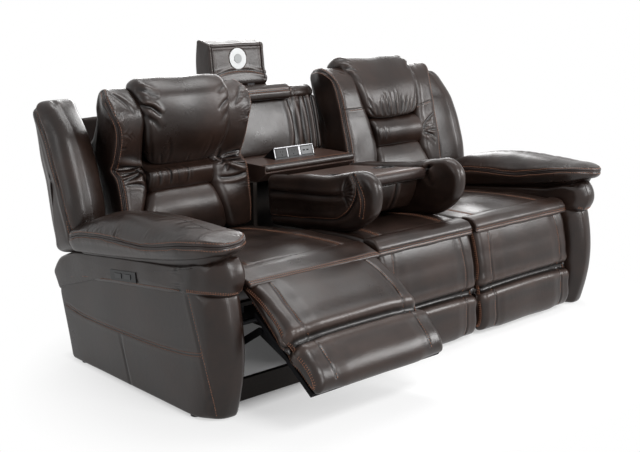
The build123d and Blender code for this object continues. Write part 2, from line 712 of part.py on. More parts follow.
def console():
    """The folded-down back of the middle seat: its rear face is a table with two cup holders."""
    under = tray_top - tray_thick
    low = under - front_board_thick
    inner = console_inner
    rear, front = console_rear, tray_front
    bolster = console_form([(395, -34), (rear, -44), (rear, 128), (440, 172), (478, 40)],
                           [4, 4, 8, 28, 18], crown(inner, console_half, roll=34, end=0.86),
                           (160, 70))
    add("console_bolsters", both(bolster))
    slab = plate([console_point(s, h) for s, h in
                  ((front - 13, low), (rear + 12, low), (rear + 12, under), (front - 13, under))],
                 -inner, inner)
    ear = plate([console_point(s, h) for s, h in ((14, -12), (-14, -12), (-40, low), (40, low))],
                console_ear_x, console_ear_x + sheet)
    ear = bored(ear, console_ear_x, console_ear_x + sheet, console_pivot)
    cushion = console_form([(318, -44), (rear + 6, -50), (rear + 6, low), (318, low)], [10, 4, 0, 16],
                           crown(-inner + 3, inner - 3, roll=40, end=0.9, seams=(-70, 70)),
                           (100, low))
    tray = plate([console_point(s, h) for s, h in
                  ((front, under), (rear, under), (rear, tray_top), (front, tray_top))],
                 -inner + 3, inner - 3, bows=[0, 0, 0, 6])
    for x0, x1 in (console_slot, (-console_slot[1], -console_slot[0])):
        cushion -= plate([console_point(s, h) for s, h in
                          ((60, -80), (rear - 6, -80), (rear - 6, low + 1), (60, low + 1))], x0, x1)
    cups = []
    outer = cup_radius + cup_wall
    foot = tray_top - cup_depth
    for x in (-cup_at[0], cup_at[0]):
        hole = console_round(x, cup_at[1], outer + cup_fit, foot - cup_fit, tray_top + 1)
        tray, slab, cushion = tray - hole, slab - hole, cushion - hole
        cup = console_round(x, cup_at[1], outer, foot, tray_top)
        cup += console_round(x, cup_at[1], outer + cup_rim, tray_top, tray_top + cup_wall)
        cups.append(cup - console_round(x, cup_at[1], cup_radius, foot + cup_wall, tray_top + 5))
    add("console_frame", slab, both(ear))
    add("console_cushion", cushion)
    add("console_table", tray)
    add("cup_holders", cups)


# ---------------------------------------------------------------- lamp
lamp_hinge = (lamp_foot[0] - 4, lamp_foot[1])


def lamp_knuckles():
    """The two lengths of the lamp hinge that stand on the cap."""
    return [(lamp_x + x - 20, lamp_x + x + 20) for x in (-60, 60)]


def lamp():
    y, z = lamp_foot
    chin = z + lamp_chin
    outline = [(y + 8, z + 4), (y + lamp_depth - 2, z), (y + lamp_depth, lamp_top_rear),
               (y + 16, lamp_top_front), (y + 3, chin), (y - 9, z + 26)]
    shell = form(outline, [0, 4, 2, 0, 3, 5],
                 crown(lamp_x - lamp_half, lamp_x + lamp_half, roll=14, end=0.95), (y + 60, z + 90))
    for x in (lamp_x - 84, lamp_x, lamp_x + 84):
        shell += block(x - 3, x + 3, lamp_hinge[0] - 3, y + 14, lamp_hinge[1] - 3, lamp_hinge[1] + 10)
    shell += rod(lamp_x - 84, lamp_x + 84, lamp_hinge, lamp_pin_radius)
    tilt = atan2(13.0, lamp_top_front - chin)
    face_y = y + 3 + (lens_height - chin) * tan(tilt)
    seat = Pos(lamp_x, face_y, lens_height) * Rot(90 - degrees(tilt), 0, 0)
    floor = -lens_depth + 2
    shell -= seat * Pos(0, 0, floor + 20) * Cylinder(lens_radius + lens_fit, 40)
    add("lamp_head", shell)
    lens = Pos(0, 0, floor + lens_depth / 2) * (Cylinder(lens_radius, lens_depth)
                                                - Cylinder(lamp_button_radius + 0.5, lens_depth))
    add("lamp_lens", seat * lens)
    button_floor = floor + lamp_button_travel + 0.5
    button = Pos(0, 0, button_floor + lens_depth / 2) * Cylinder(lamp_button_radius, lens_depth)
    add("lamp_button", seat * button)


if __name__ == "__main__":
    base()
    arms()
    seats()
    footrests()
    middle_front()
    mechanism()
    seat_backs()
    middle_back()
    power_strip()
    console()
    lamp()
    os.makedirs("parts", exist_ok=True)
    for name, solids in nodes.items():
        group = [Pos(0, -front_to_origin, 0) * s for s in solids]
        whole = group[0] if len(group) == 1 else Compound(children=group)
        export_step(whole, f"parts/{name}.step")
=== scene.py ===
import bpy
import numpy as np
from math import radians, sin, cos, pi, hypot
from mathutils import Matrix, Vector


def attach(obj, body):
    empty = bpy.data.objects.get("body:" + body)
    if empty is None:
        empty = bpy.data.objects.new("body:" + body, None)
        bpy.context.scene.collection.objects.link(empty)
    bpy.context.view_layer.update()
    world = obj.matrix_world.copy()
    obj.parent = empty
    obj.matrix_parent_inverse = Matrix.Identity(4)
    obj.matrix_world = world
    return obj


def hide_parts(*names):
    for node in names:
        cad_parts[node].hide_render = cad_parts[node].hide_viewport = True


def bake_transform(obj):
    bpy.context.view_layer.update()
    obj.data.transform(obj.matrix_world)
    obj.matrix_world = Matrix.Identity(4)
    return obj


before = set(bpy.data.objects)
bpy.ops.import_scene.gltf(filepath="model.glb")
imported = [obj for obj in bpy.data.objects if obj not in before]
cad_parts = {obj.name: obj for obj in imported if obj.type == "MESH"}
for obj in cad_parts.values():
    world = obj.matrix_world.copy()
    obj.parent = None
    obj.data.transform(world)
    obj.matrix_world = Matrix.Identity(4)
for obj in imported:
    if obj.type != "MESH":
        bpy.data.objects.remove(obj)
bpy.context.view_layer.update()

# Lengths below are millimetres in the maker's drawing frame: x across, y from the arms' front
# to the rear, z up from the floor. The row frame is the same one moved forward by frontShift.
frontShift = 430.0
laneIn, laneOut, laneMid = 293.0, 956.0, 624.5
backLean, backFoot = radians(11.6), (985, 330)
padLean, padTop = radians(9), (77, 505)
tableSlope, consolePivot = radians(6), (566, 560)


def toRow(points):  # drawing frame to row frame, millimetres to metres
    return (np.asarray(points, float) - (0, frontShift, 0)) / 1000


def place(side, points):  # right-hand drawing to the chosen side, in the row frame
    out = toRow(points)
    out[..., 0] *= side
    return out


def sideName(side):
    return "left" if side < 0 else "right"


def backPoint(u, v):  # u up the leaning seat back, v forward from its rear face
    return (backFoot[0] + u * sin(backLean) - v * cos(backLean),
            backFoot[1] + u * cos(backLean) + v * sin(backLean))


def heightUp(points):  # u of each point, measured up the leaning back
    return (points[..., 1] - backFoot[0]) * sin(backLean) + (points[..., 2] - backFoot[1]) * cos(backLean)


def padPoint(b, e):  # b down the closed footrest from its top edge, e back through it
    return (padTop[0] - b * sin(padLean) + e * cos(padLean), padTop[1] - b * cos(padLean) - e * sin(padLean))


def tablePoint(s, h):  # s forward from the console's pivot along its table, h up from it
    return (consolePivot[0] - s * cos(tableSlope) + h * sin(tableSlope),
            consolePivot[1] + s * sin(tableSlope) + h * cos(tableSlope))


def onBack(x, u, v):
    return (x, *backPoint(u, v))


def onPad(x, b, e):
    return (x, *padPoint(b, e))


def onTable(x, s, h):
    return (x, *tablePoint(s, h))


def turned(points, pivot, degrees):  # about an X line: a positive angle swings what hangs forward
    a = np.radians(degrees)
    out = np.array(points, float)
    y, z = out[..., 1] - pivot[0], out[..., 2] - pivot[1]
    out[..., 1] = pivot[0] + y * np.cos(a) + z * np.sin(a)
    out[..., 2] = pivot[1] - y * np.sin(a) + z * np.cos(a)
    return out


def turning(pivot, degrees):  # the move that turned makes, or none
    return (lambda points: turned(points, pivot, degrees)) if degrees else None


# camera, lights, floor
view = {"at": (-3.171, -3.227, 1.501), "down": 12.93, "across": -42.33, "lens": 60.74, "sensor": 36, "far": 60}

studio = {
    "key": dict(at=(-0.6, -3.1, 3.1), aim=(0, 0, 0.5), size=(1.4, 0.7), power=82),
    "front": dict(at=(-0.9, -4.4, 1.7), aim=(-0.2, 0, 0.5), size=(0.8, 1.3), power=58),
    "top": dict(at=(0.4, 0.3, 3.2), aim=(0, 0, 0.6), size=(3.0, 0.6), power=58),
    "right": dict(at=(3.1, -3.3, 2.35), aim=(0.0, 0, 0.5), size=(2.2, 1.5), power=165),
    "left": dict(at=(-4.2, 0.6, 1.9), aim=(0, 0, 0.5), size=(1.2, 2.0), power=18),
    "rear": dict(at=(2.4, 3.2, 2.1), aim=(0, 0, 0.6), size=(3.0, 1.5), power=95),
}
air = {"colour": (0.93, 0.95, 1), "strength": 0.09}
# half the floor's width; the shadow shows out to an ellipse; nothing but shadow is seen under the seats
floorSizes = {"half": 14.0, "ellipse": (1.40, 1.05), "middle": 0.1, "under": (1.14, 0.50), "paint": 0.90}


def newObject(name, data):
    thing = bpy.data.objects.new(name, data)
    bpy.context.collection.objects.link(thing)
    return thing


def setCamera():
    camera = newObject("camera", bpy.data.cameras.new("camera"))
    camera.location = view["at"]
    camera.rotation_euler = (radians(90 - view["down"]), 0, radians(view["across"]))
    camera.data.lens = view["lens"]
    camera.data.sensor_width = view["sensor"]
    camera.data.clip_end = view["far"]
    bpy.context.scene.camera = camera


def softbox(name, at, aim, size, power):
    light = bpy.data.lights.new(name, "AREA")
    light.shape = "RECTANGLE"
    light.size, light.size_y = size
    light.energy = power
    thing = newObject(name, light)
    thing.location = at
    thing.rotation_euler = (Vector(aim) - Vector(at)).to_track_quat("-Z", "Y").to_euler()


setCamera()
for name, box in studio.items():
    softbox("softbox_" + name, **box)


# shader writing
class Value:
    # a socket that Python operators extend with Math nodes
    def __init__(self, tree, socket):
        self.tree, self.socket = tree, socket

    def math(self, operation, *others, first=None):
        made = self.tree.nodes.new("ShaderNodeMath")
        made.operation = operation
        terms = [self if first is None else first] + list(others)
        for slot, term in zip(made.inputs, terms):
            if isinstance(term, Value):
                self.tree.links.new(term.socket, slot)
            else:
                slot.default_value = term
        return Value(self.tree, made.outputs[0])

    def other(self, output):  # another output of the same node
        return Value(self.tree, self.socket.node.outputs[output])

    def __add__(self, other):
        return self.math("ADD", other)

    def __sub__(self, other):
        return self.math("SUBTRACT", other)

    def __rsub__(self, other):
        return self.math("SUBTRACT", self, first=other)

    def __mul__(self, other):
        return self.math("MULTIPLY", other)

    def __truediv__(self, other):
        return self.math("DIVIDE", other)

    def __pow__(self, other):
        return self.math("POWER", other)

    def __abs__(self):
        return self.math("ABSOLUTE")

    def clamp(self):
        return self.math("MAXIMUM", 0.0).math("MINIMUM", 1.0)

    __radd__, __rmul__ = __add__, __mul__


class Shade:
    # the nodes of one material or world, and the one method that adds any of them
    def __init__(self, owner):
        self.owner = owner
        owner.use_nodes = True
        self.tree = owner.node_tree
        self.tree.nodes.clear()

    def node(self, kind, settings=None, output=0, **sockets):
        # a socket is named with _ for a space, or numbered, as in i0
        made = self.tree.nodes.new("ShaderNode" + kind)
        for key, value in (settings or {}).items():
            setattr(made, key, value)
        for key, value in sockets.items():
            numbered = key[0] == "i" and key[1:].isdigit()
            slot = made.inputs[int(key[1:]) if numbered else key.replace("_", " ")]
            if isinstance(value, Value):
                self.tree.links.new(value.socket, slot)
            elif slot.type == "RGBA":
                slot.default_value = tuple(value) + (1,)
            else:
                slot.default_value = value
        return Value(self.tree, made.outputs[output]) if len(made.outputs) else None

    def mixed(self, share, one, other):
        return self.node("Mix", dict(data_type="RGBA"), output=2, i0=share, i6=one, i7=other)

    def place(self):  # Object coordinates
        return self.node("TexCoord", output=3)

    def finish(self, **sockets):
        self.node("OutputMaterial", Surface=self.node("BsdfPrincipled", **sockets))
        return self.owner


def newShade(name):
    return Shade(bpy.data.materials.new(name))


def seenRays(shade):
    ray = shade.node("LightPath")
    return sum(ray.other(f"Is {kind} Ray") for kind in ("Camera", "Glossy", "Transmission")).clamp()


def backdropMaterial():
    # camera, glossy and transmission rays see white, through which the object's shadow shows near it
    f = floorSizes
    shade = newShade("pale_floor")
    paint = shade.node("BsdfDiffuse", Color=(f["paint"],) * 3)
    white = shade.node("Emission", Color=(1, 1, 1), Strength=1.0)
    across = shade.node("SeparateXYZ", Vector=shade.place())
    deep = across.other("Y")
    away = ((across / f["ellipse"][0]) ** 2 + ((deep + f["middle"]) / f["ellipse"][1]) ** 2) ** 0.5
    lit = ((away - 0.72) / 0.42).clamp() * 0.42 + 0.58
    under = ((f["under"][0] - abs(across)) / 0.10).clamp()
    under = under * ((f["under"][1] - abs(deep - f["middle"])) / 0.12).clamp()
    share = lit * (1 - under * 0.9) * seenRays(shade)
    shade.node("OutputMaterial", Surface=shade.node("MixShader", i0=share, i1=paint, i2=white))
    return shade.owner


def stage():
    mesh = bpy.data.meshes.new("floor")
    half = floorSizes["half"]
    mesh.from_pydata([(-half, -half, 0), (half, -half, 0), (half, half, 0), (-half, half, 0)], [], [(0, 1, 2, 3)])
    floor = newObject("floor", mesh)
    mesh.materials.append(backdropMaterial())
    world = bpy.data.worlds.new("air")
    bpy.context.scene.world = world
    shade = Shade(world)
    light = shade.node("Background", Color=air["colour"], Strength=air["strength"])
    white = shade.node("Background", Color=(1, 1, 1))
    shade.node("OutputWorld", Surface=shade.node("MixShader", i0=seenRays(shade), i1=light, i2=white))


stage()
bpy.context.scene.view_settings.view_transform = "Standard"

# finishes; colours are linear
leatherLook = {
    "body": (0.0115, 0.0066, 0.0050),
    "warm": (0.0240, 0.0122, 0.0085),
    # painted shade: the colour the leather darkens to in creases and seam valleys
    "deep": (0.0030, 0.0018, 0.0015),
    "rubbed": (0.046, 0.029, 0.023),
    "roughness": 0.31,
    "grain": 520.0,
    "grainDepth": 0.00022,
    "level": 0.36,
}
tableLook = dict(leatherLook, body=(0.044, 0.026, 0.0205), warm=(0.058, 0.034, 0.026), roughness=0.32,
                 grainDepth=0.0001)
pipingLook = dict(leatherLook, body=(0.016, 0.010, 0.0085), warm=(0.024, 0.0135, 0.011), roughness=0.42,
                  level=0.36 * 0.9)


def leather(name, look, marks=True):
    # colour = body mottled with warm, with painted shade in the creases and seam valleys, paler on rubbed crests;
    # grain is a fine cell bump
    shade = newShade(name)
    place = shade.place()
    broad = shade.node("TexNoise", Vector=place, Scale=4.5, Detail=3.0, Roughness=0.55)
    fine = shade.node("TexNoise", Vector=place, Scale=38.0, Detail=4.0, Roughness=0.6)
    mottle = ((broad - 0.42) * 2.6 + (fine - 0.5) * 0.8).clamp()
    colour = shade.mixed(mottle, look["body"], look["warm"])
    if marks:
        hollow = shade.node("Attribute", dict(attribute_name="hollow"), output=2)
        crest = shade.node("Attribute", dict(attribute_name="crest"), output=2)
        # painted shade: darker towards the deep colour where the relief dips below its blur
        colour = shade.mixed((hollow * 0.9).clamp(), colour, look["deep"])
        colour = shade.mixed((crest * (0.25 + fine * 0.5)).clamp(), colour, look["rubbed"])
    cells = shade.node("TexVoronoi", dict(feature="DISTANCE_TO_EDGE"), Vector=place, Scale=look["grain"])
    pores = shade.node("TexNoise", Vector=place, Scale=look["grain"] * 1.7, Detail=2.0)
    folds = shade.node("TexNoise", Vector=place, Scale=55.0, Detail=5.0, Roughness=0.65, Distortion=0.6)
    grain = shade.node("Bump", Strength=0.32, Distance=look["grainDepth"],
                       Height=(cells * 3.0).clamp() * 0.7 + pores * 0.5)
    bump = shade.node("Bump", Strength=0.30, Distance=0.0016, Height=folds, Normal=grain)
    rough = (look["roughness"] + (broad - 0.5) * 0.16 + (fine - 0.5) * 0.10).clamp()
    return shade.finish(Base_Color=colour, Roughness=rough, Normal=bump, Specular_IOR_Level=look["level"])


def plain(name, colour, roughness, metallic=0.0, scale=300.0, spread=0.25, bump=0.0002, level=0.3):
    # one colour with a faint noise in colour, roughness and surface
    shade = newShade(name)
    fine = shade.node("TexNoise", Vector=shade.place(), Scale=scale, Detail=4.0, Roughness=0.6)
    darker = tuple(c * (1 - spread) for c in colour)
    tone = shade.mixed(((fine - 0.3) * 2.2).clamp(), darker, colour)
    rough = (roughness + (fine - 0.5) * 0.2).clamp()
    lump = shade.node("Bump", Strength=0.4, Distance=bump, Height=fine)
    return shade.finish(Base_Color=tone, Roughness=rough, Metallic=metallic, Normal=lump, Specular_IOR_Level=level)


def wovenBack(name, dark=(0.020, 0.012, 0.010), light=(0.036, 0.021, 0.016), weave=260.0):
    # vinyl on the rear faces: a plain weave of fine ribs crossing each other
    shade = newShade(name)
    place = shade.place()
    ribs = shade.node("TexWave", dict(wave_type="BANDS", bands_direction="X"), Vector=place, Scale=weave)
    rows = shade.node("TexWave", dict(wave_type="BANDS", bands_direction="Z"), Vector=place, Scale=weave)
    fine = shade.node("TexNoise", Vector=place, Scale=18.0, Detail=4.0)
    tone = shade.mixed(((fine - 0.35) * 2.0).clamp(), dark, light)
    lump = shade.node("Bump", Strength=0.35, Distance=0.0003, Height=ribs * rows)
    rough = (0.56 + fine * 0.12).clamp()
    return shade.finish(Base_Color=tone, Roughness=rough, Normal=lump, Specular_IOR_Level=0.3)


def wood(name, dark=(0.0075, 0.0055, 0.0045), light=(0.016, 0.0115, 0.009)):
    # stained nearly black, with the grain across z
    shade = newShade(name)
    stretched = shade.node("Mapping", Vector=shade.place(), Scale=(1.5, 1.5, 14.0))
    grain = shade.node("TexNoise", Vector=stretched, Scale=22.0, Detail=6.0, Distortion=1.4)
    tone = shade.mixed(((grain - 0.3) * 2.2).clamp(), dark, light)
    lump = shade.node("Bump", Strength=0.3, Distance=0.0004, Height=grain)
    return shade.finish(Base_Color=tone, Roughness=0.62, Normal=lump, Specular_IOR_Level=0.2)


finish = {
    "leather": leather("espresso_leather", leatherLook),
    "table": leather("table_leather", tableLook, marks=False),
    "piping": leather("piping_leather", pipingLook, marks=False),
    "thread": plain("copper_thread", (0.30, 0.135, 0.080), 0.55, scale=900.0, spread=0.35),
    "back": wovenBack("rear_vinyl"),
    "wood": wood("frame_wood"),
    "steel": plain("black_steel", (0.022, 0.022, 0.024), 0.38, 0.6, 90.0, 0.4, 0.0001),
    "glide": plain("glide_plastic", (0.018, 0.018, 0.019), 0.45),
    "cup": plain("cup_metal", (0.17, 0.165, 0.165), 0.30, 0.9, 400.0, 0.15, 0.00004),
    "switch": plain("switch_plastic", (0.016, 0.017, 0.018), 0.38, scale=700.0, spread=0.2, bump=0.0001),
    "rocker": plain("rocker_plastic", (0.034, 0.036, 0.038), 0.33, scale=700.0, spread=0.2, bump=0.0001),
    "outlet": plain("outlet_plastic", (0.011, 0.011, 0.012), 0.36, scale=500.0, spread=0.2, bump=0.00008,
                    level=0.15),
    "lens": plain("lens_white", (0.50, 0.51, 0.51), 0.34, spread=0.04, bump=0.00003),
    "button": plain("button_grey", (0.27, 0.28, 0.28), 0.40, spread=0.1, bump=0.00005),
    "silver": plain("silver_trim", (0.17, 0.17, 0.175), 0.34, 0.85, spread=0.08, bump=0.00004),
    # black felt on the boards; on the power strip the same dark finish is painted shade in its socket holes and ports
    "felt": plain("dust_cover_and_hole_shade", (0.009, 0.009, 0.010), 0.85, scale=400.0, spread=0.3, bump=0.0004, level=0.08),
}
print("finishes made")

# CAD node -> finish for the nodes that stay as they are
stayingNodes = {
    "base_frame": "wood", "floor_glides": "glide", "seat_boards": "wood", "rear_covers": "back",
    "switch_panels": "switch", "mechanism_plates": "steel", "recline_motors": "steel",
    "middle_back_board": "wood", "console_frame": "wood", "cup_holders": "cup",
    "power_strip": "outlet", "power_shelf": "table", "lamp_lens": "lens", "lamp_button": "button",
}
for tag in ("left", "right"):
    stayingNodes.update({
        "recline_switch_" + tag: "rocker", "headrest_switch_" + tag: "rocker",
        "footrest_board_" + tag: "felt", "footrest_brackets_" + tag: "steel",
        "drive_crank_" + tag: "steel", "push_links_" + tag: "steel", "back_board_" + tag: "wood",
        "back_cover_" + tag: "back", "back_brackets_" + tag: "steel", "headrest_board_" + tag: "felt",
    })
for node, key in stayingNodes.items():
    thing = bpy.data.objects[node]
    if not thing.material_slots:
        thing.data.materials.append(finish[key])
    for slot in thing.material_slots:
        slot.material = finish[key]


# lines and fields
def lengthOf(line):
    return np.linalg.norm(np.diff(line, axis=0), axis=1).sum()


def evened(points, count, closed=True):  # the same line with evenly spaced points
    loop = np.vstack([points, points[:1]]) if closed else np.asarray(points, float)
    run = np.concatenate([[0], np.cumsum(np.linalg.norm(np.diff(loop, axis=0), axis=1))])
    at = np.linspace(0, run[-1], count + 1)[:-1] if closed else np.linspace(0, run[-1], count)
    return np.stack([np.interp(at, run, loop[:, i]) for i in range(loop.shape[1])], 1)


def smoothLine(points, count):  # a rounded line through points, by repeated corner cutting
    line = np.asarray(points, float)
    for _ in range(3):
        a, b = line[:-1], line[1:]
        cut = np.empty((2 * len(a), line.shape[1]))
        cut[0::2], cut[1::2] = a * 0.75 + b * 0.25, a * 0.25 + b * 0.75
        line = np.vstack([line[:1], cut, line[-1:]])
    return evened(line, count, False)


def calmed(line, passes):  # neighbours averaged along a line, its ends kept
    line = line.copy()
    for _ in range(passes):
        line[1:-1] = line[1:-1] * 0.5 + (line[:-2] + line[2:]) * 0.25
    return line


def softened(ring, spread):  # a closed line blurred along itself by a bell curve of that spread
    if spread <= 0:
        return ring
    step = np.linalg.norm(ring - np.roll(ring, 1, 0), axis=1).mean()
    curve = np.exp(-2 * (pi * np.fft.fftfreq(len(ring), step) * spread) ** 2)
    return np.real(np.fft.ifft(np.fft.fft(ring, axis=0) * curve[:, None], axis=0))


def outline(corners, bows=None, spread=12.0, count=220):
    # sides join the corners, each bowed outward by its sag, then the corners are softened
    corners = np.asarray(corners, float)
    following = np.roll(corners, -1, 0)
    bows = np.zeros(len(corners)) if bows is None else np.asarray(bows, float)
    share = np.linspace(0, 1, 41)[:-1]
    runs = []
    for p, q, bow in zip(corners, following, bows):
        d = q - p
        out = np.array([d[1], -d[0]]) / max(hypot(*d), 1e-6)
        runs.append(p + share[:, None] * d + (4 * share * (1 - share) * bow)[:, None] * out)
    return evened(softened(evened(np.vstack(runs), 720), spread), count)


def ringNormals(ring):  # outward normals of an outline that runs with its inside on the left
    d = np.roll(ring, -1, -2) - np.roll(ring, 1, -2)
    d = d / np.maximum(np.linalg.norm(d, axis=-1, keepdims=True), 1e-9)
    return np.stack([d[..., 1], -d[..., 0]], -1)


def insetNormals(ring, reach):  # from the outline blurred over the reach, so that an inset can't cross itself
    return ringNormals(softened(ring, max(reach * 1.1, 6.0)))


def band(value, low, high):  # 0 below low, 1 above high, smooth between
    t = np.clip((value - low) / (high - low), 0, 1)
    return t * t * (3 - 2 * t)


def bell(value):  # 1 at 0, falling away both ways
    return np.exp(-value ** 2)


def rng(seed):
    return np.random.default_rng(seed)


def ripple(field, pitch, seed, terms=5):
    # sum of sines of nearby pitches with random phases, about -1 to 1
    r = rng(seed)
    total = 0
    for _ in range(terms):
        wave = np.sin(2 * pi * field / (pitch * r.uniform(0.62, 1.5)) + r.uniform(0, 2 * pi))
        total = total + wave * r.uniform(0.5, 1)
    return total / (terms * 0.42)


def mounds(a, b, size, seed, terms=14):
    # sum of plane waves in random directions over two lengths, about -1 to 1
    r = rng(seed)
    total = 0
    for _ in range(terms):
        turn, pitch = r.uniform(0, 2 * pi), size * r.uniform(0.7, 1.9)
        total = total + np.sin(2 * pi * (a * cos(turn) + b * sin(turn)) / pitch + r.uniform(0, 2 * pi))
    return total / (terms ** 0.5 * 1.2)


def nearestOnLine(points, line, reach):
    # for each point within reach: distance to the line, length along it, and the vector from the line
    shape = points.shape[:-1]
    flat = points.reshape(-1, 3)
    best = np.full(len(flat), 1e9)
    along = np.zeros(len(flat))
    away = np.zeros((len(flat), 3))
    low, high = line.min(0) - reach, line.max(0) + reach
    near = np.where(((flat > low) & (flat < high)).all(1))[0]
    spot = flat[near]
    run = 0.0
    for p, q in zip(line[:-1], line[1:]):
        d = q - p
        length = np.linalg.norm(d)
        share = np.clip(((spot - p) @ d) / max(length * length, 1e-9), 0, 1)
        gap = spot - (p + share[:, None] * d)
        dist = np.linalg.norm(gap, axis=1)
        closer = dist < best[near]
        chosen = near[closer]
        best[chosen], along[chosen], away[chosen] = dist[closer], run + share[closer] * length, gap[closer]
        run += length
    return best.reshape(shape), along.reshape(shape), away.reshape(shape + (3,))


class Skin:
    # a closed surface on a grid: the first index runs along the piece, the second round its outline
    def __init__(self, name, points):
        self.name, self.points = name, points
        self.relief = np.zeros(points.shape[:2])
        self.renew()

    def renew(self):  # normals, pointing away from the middle
        p = self.points
        along = np.roll(p, -1, 1) - np.roll(p, 1, 1)
        n = np.cross(np.gradient(p, axis=0), along)
        n = n / np.maximum(np.linalg.norm(n, axis=-1, keepdims=True), 1e-9)
        middle = p.reshape(-1, 3).mean(0)
        self.normals = -n if ((p - middle) * n).sum() < 0 else n

    def push(self, height):
        self.relief = self.relief + height

    def lumps(self, height, first, second, size, seed, share=1.0):  # mounds over two of the axes
        self.push(height * mounds(self.points[..., first], self.points[..., second], size, seed) * share)

    def carve(self):  # the collected relief goes into the surface
        self.points = self.points + self.normals * self.relief[..., None]
        self.renew()

    def snap(self, line):
        # each point moves to the tangent plane at the nearest vertex; the normals there come with it
        flat, normals = self.points.reshape(-1, 3), self.normals.reshape(-1, 3)
        low, high = line.min(0) - 60, line.max(0) + 60
        near = np.where(((flat > low) & (flat < high)).all(1))[0]
        near = near if len(near) > 50 else np.arange(len(flat))
        spot = flat[near].astype(np.float32)
        size = (spot ** 2).sum(1)
        nearest = near[(size[None] - 2 * line.astype(np.float32) @ spot.T).argmin(1)]
        n = normals[nearest]
        drop = ((line - flat[nearest]) * n).sum(1)
        return line - n * drop[:, None], n

    def seam(self, points, count):  # a rounded line laid on the surface
        return self.snap(smoothLine(points, count))[0]

    def column(self, index, start, stop, count):
        # part of one outline, as fractions of its length from its first corner
        loop = self.points[index]
        steps = np.linspace(start, stop, count) * len(loop)
        low = np.floor(steps).astype(int)
        part = (steps - low)[:, None]
        a, b = loop[low % len(loop)], loop[(low + 1) % len(loop)]
        return a + (b - a) * part

    def groove(self, line, width, depth, lips, fade=0.0):
        # a sewn valley: depth times a bell of the distance, with a soft puff either side
        gap, run, _ = nearestOnLine(self.points, line, width * 8)
        ends = np.clip(np.minimum(run, lengthOf(line) - run) / fade, 0, 1) if fade else 1.0
        puff = lips * depth * bell((gap - 2.6 * width) / (1.5 * width))
        self.push((-depth * bell(gap / width) + puff) * ends)

    def gathers(self, line, reach, pitch, height, seed, side=None, start=0.0, stop=1e9, sway=0.35):
        # pleats square to a seam that die away from it: ridged waves of the length along the seam
        gap, run, away = nearestOnLine(self.points, line, reach * 3.5)
        keep = np.exp(-(gap / reach) ** 1.5) * (1 - bell(gap / 10.0))
        if side is not None:
            keep = keep * (1 / (1 + np.exp(-(away @ np.asarray(side, float)) / 3.0)))
        rise = pitch * 1.5
        keep = keep * np.clip((run - start) / rise, 0, 1) * np.clip((stop - run) / rise, 0, 1)
        shifted = run + sway * gap * ripple(run, pitch * 5, seed + 7, 3)
        wave = ripple(shifted, pitch, seed, 4)
        uneven = 0.55 + 0.45 * ripple(run, pitch * 4.3, seed + 3, 3)
        self.push(keep * height * uneven * (1 - 1.6 * np.abs(wave)))

    def fold(self, start, stop, width, depth, bend=0.0, ridge=0.6):
        # one crease between two points, bowed sideways, deepest in its middle, with a ridge on one side
        start, stop = np.asarray(start, float), np.asarray(stop, float)
        share = np.linspace(0, 1, 14)[:, None]
        straight = start + (stop - start) * share
        out = self.snap(straight[6:8])[1][0]
        sideways = np.cross(stop - start, out)
        sideways = sideways / max(np.linalg.norm(sideways), 1e-9)
        line = self.snap(straight + sideways * (4 * share * (1 - share) * bend))[0]
        gap, run, away = nearestOnLine(self.points, line, width * 6)
        taper = np.sin(pi * np.clip(run / lengthOf(line), 0, 1)) ** 0.6
        oneSide = 0.6 + 0.4 * np.sign(away @ sideways)
        crest = ridge * depth * bell((gap - 2.0 * width) / (1.3 * width)) * oneSide
        self.push((-depth * bell(gap / width) + crest) * taper)


def loft(name, ring, low, high, roll, nu=120, nv=220, spread=12.0, dome=6.0, capLow=10, capHigh=14,
         rollAt=None, rollLow=None):
    # outlines across x; both ends turn in over a quarter round of radius roll and close in a shallow dome.
    # ring is the corners and bows, or gives them for each x; rollAt gives the radius as a share of roll for
    # each place round the outline.
    rollLow = roll if rollLow is None else rollLow

    def ringFor(x):
        corners, bows = ring(x) if callable(ring) else ring
        return outline(corners, bows, spread, nv)

    share = np.ones(nv) if rollAt is None else rollAt(ringFor((low + high) / 2))
    turnSteps = max(8, int(0.14 * nu))
    blocks = []
    for end, r, d, capRings in ((low, rollLow, 1, capLow), (high, roll, -1, capHigh)):
        block = []
        reach = r * share.max()
        base = ringFor(end + d * dome)
        tight = base - insetNormals(base, reach) * (r * share)[:, None]
        centre = tight.mean(0)
        for k in np.linspace(0, 1, capRings, endpoint=False)[1:]:
            block.append(np.column_stack([np.full(nv, end + d * dome * k ** 2), centre + (tight - centre) * k]))
        for angle in np.linspace(0, pi / 2, turnSteps):
            edge = ringFor(end + d * (dome + r * (1 - cos(angle))))
            x = end + d * (dome + r * share * (1 - np.cos(angle)))
            inset = r * share * (1 - np.sin(angle))
            block.append(np.column_stack([x, edge - insetNormals(edge, reach) * inset[:, None]]))
        blocks.append(block)
    # between the rounds, each place on the outline runs straight between its own two ends
    left, right = blocks[0][-1], blocks[1][-1]
    middle = []
    for m in np.linspace(0, 1, nu - 2 * turnSteps)[1:-1]:
        x = left[:, 0] + (right[:, 0] - left[:, 0]) * m
        edge = ringFor(low + dome + rollLow + (high - low - 2 * dome - roll - rollLow) * m)
        middle.append(np.column_stack([x, edge]))
    skin = Skin(name, np.array(blocks[0] + middle + blocks[1][::-1]))
    skin.seamLow, skin.seamHigh = capLow - 1, len(skin.points) - capHigh
    skin.turnSteps = turnSteps
    return skin


# from grids to objects
def gridQuads(rows, columns):  # faces of a grid whose rows close on themselves
    i, j = np.meshgrid(np.arange(rows - 1), np.arange(columns), indexing="ij")
    k = (j + 1) % columns
    here, after = i * columns, (i + 1) * columns
    return np.stack([here + j, after + j, after + k, here + k], -1).reshape(-1, 4)


def endFans(rows, columns):  # triangles to its first and last row from two points that follow the grid
    c = np.arange(columns)
    n = (c + 1) % columns
    last = (rows - 1) * columns
    first = np.stack([np.full(columns, rows * columns), c, n], 1)
    return np.vstack([first, np.stack([np.full(columns, rows * columns + 1), last + n, last + c], 1)])


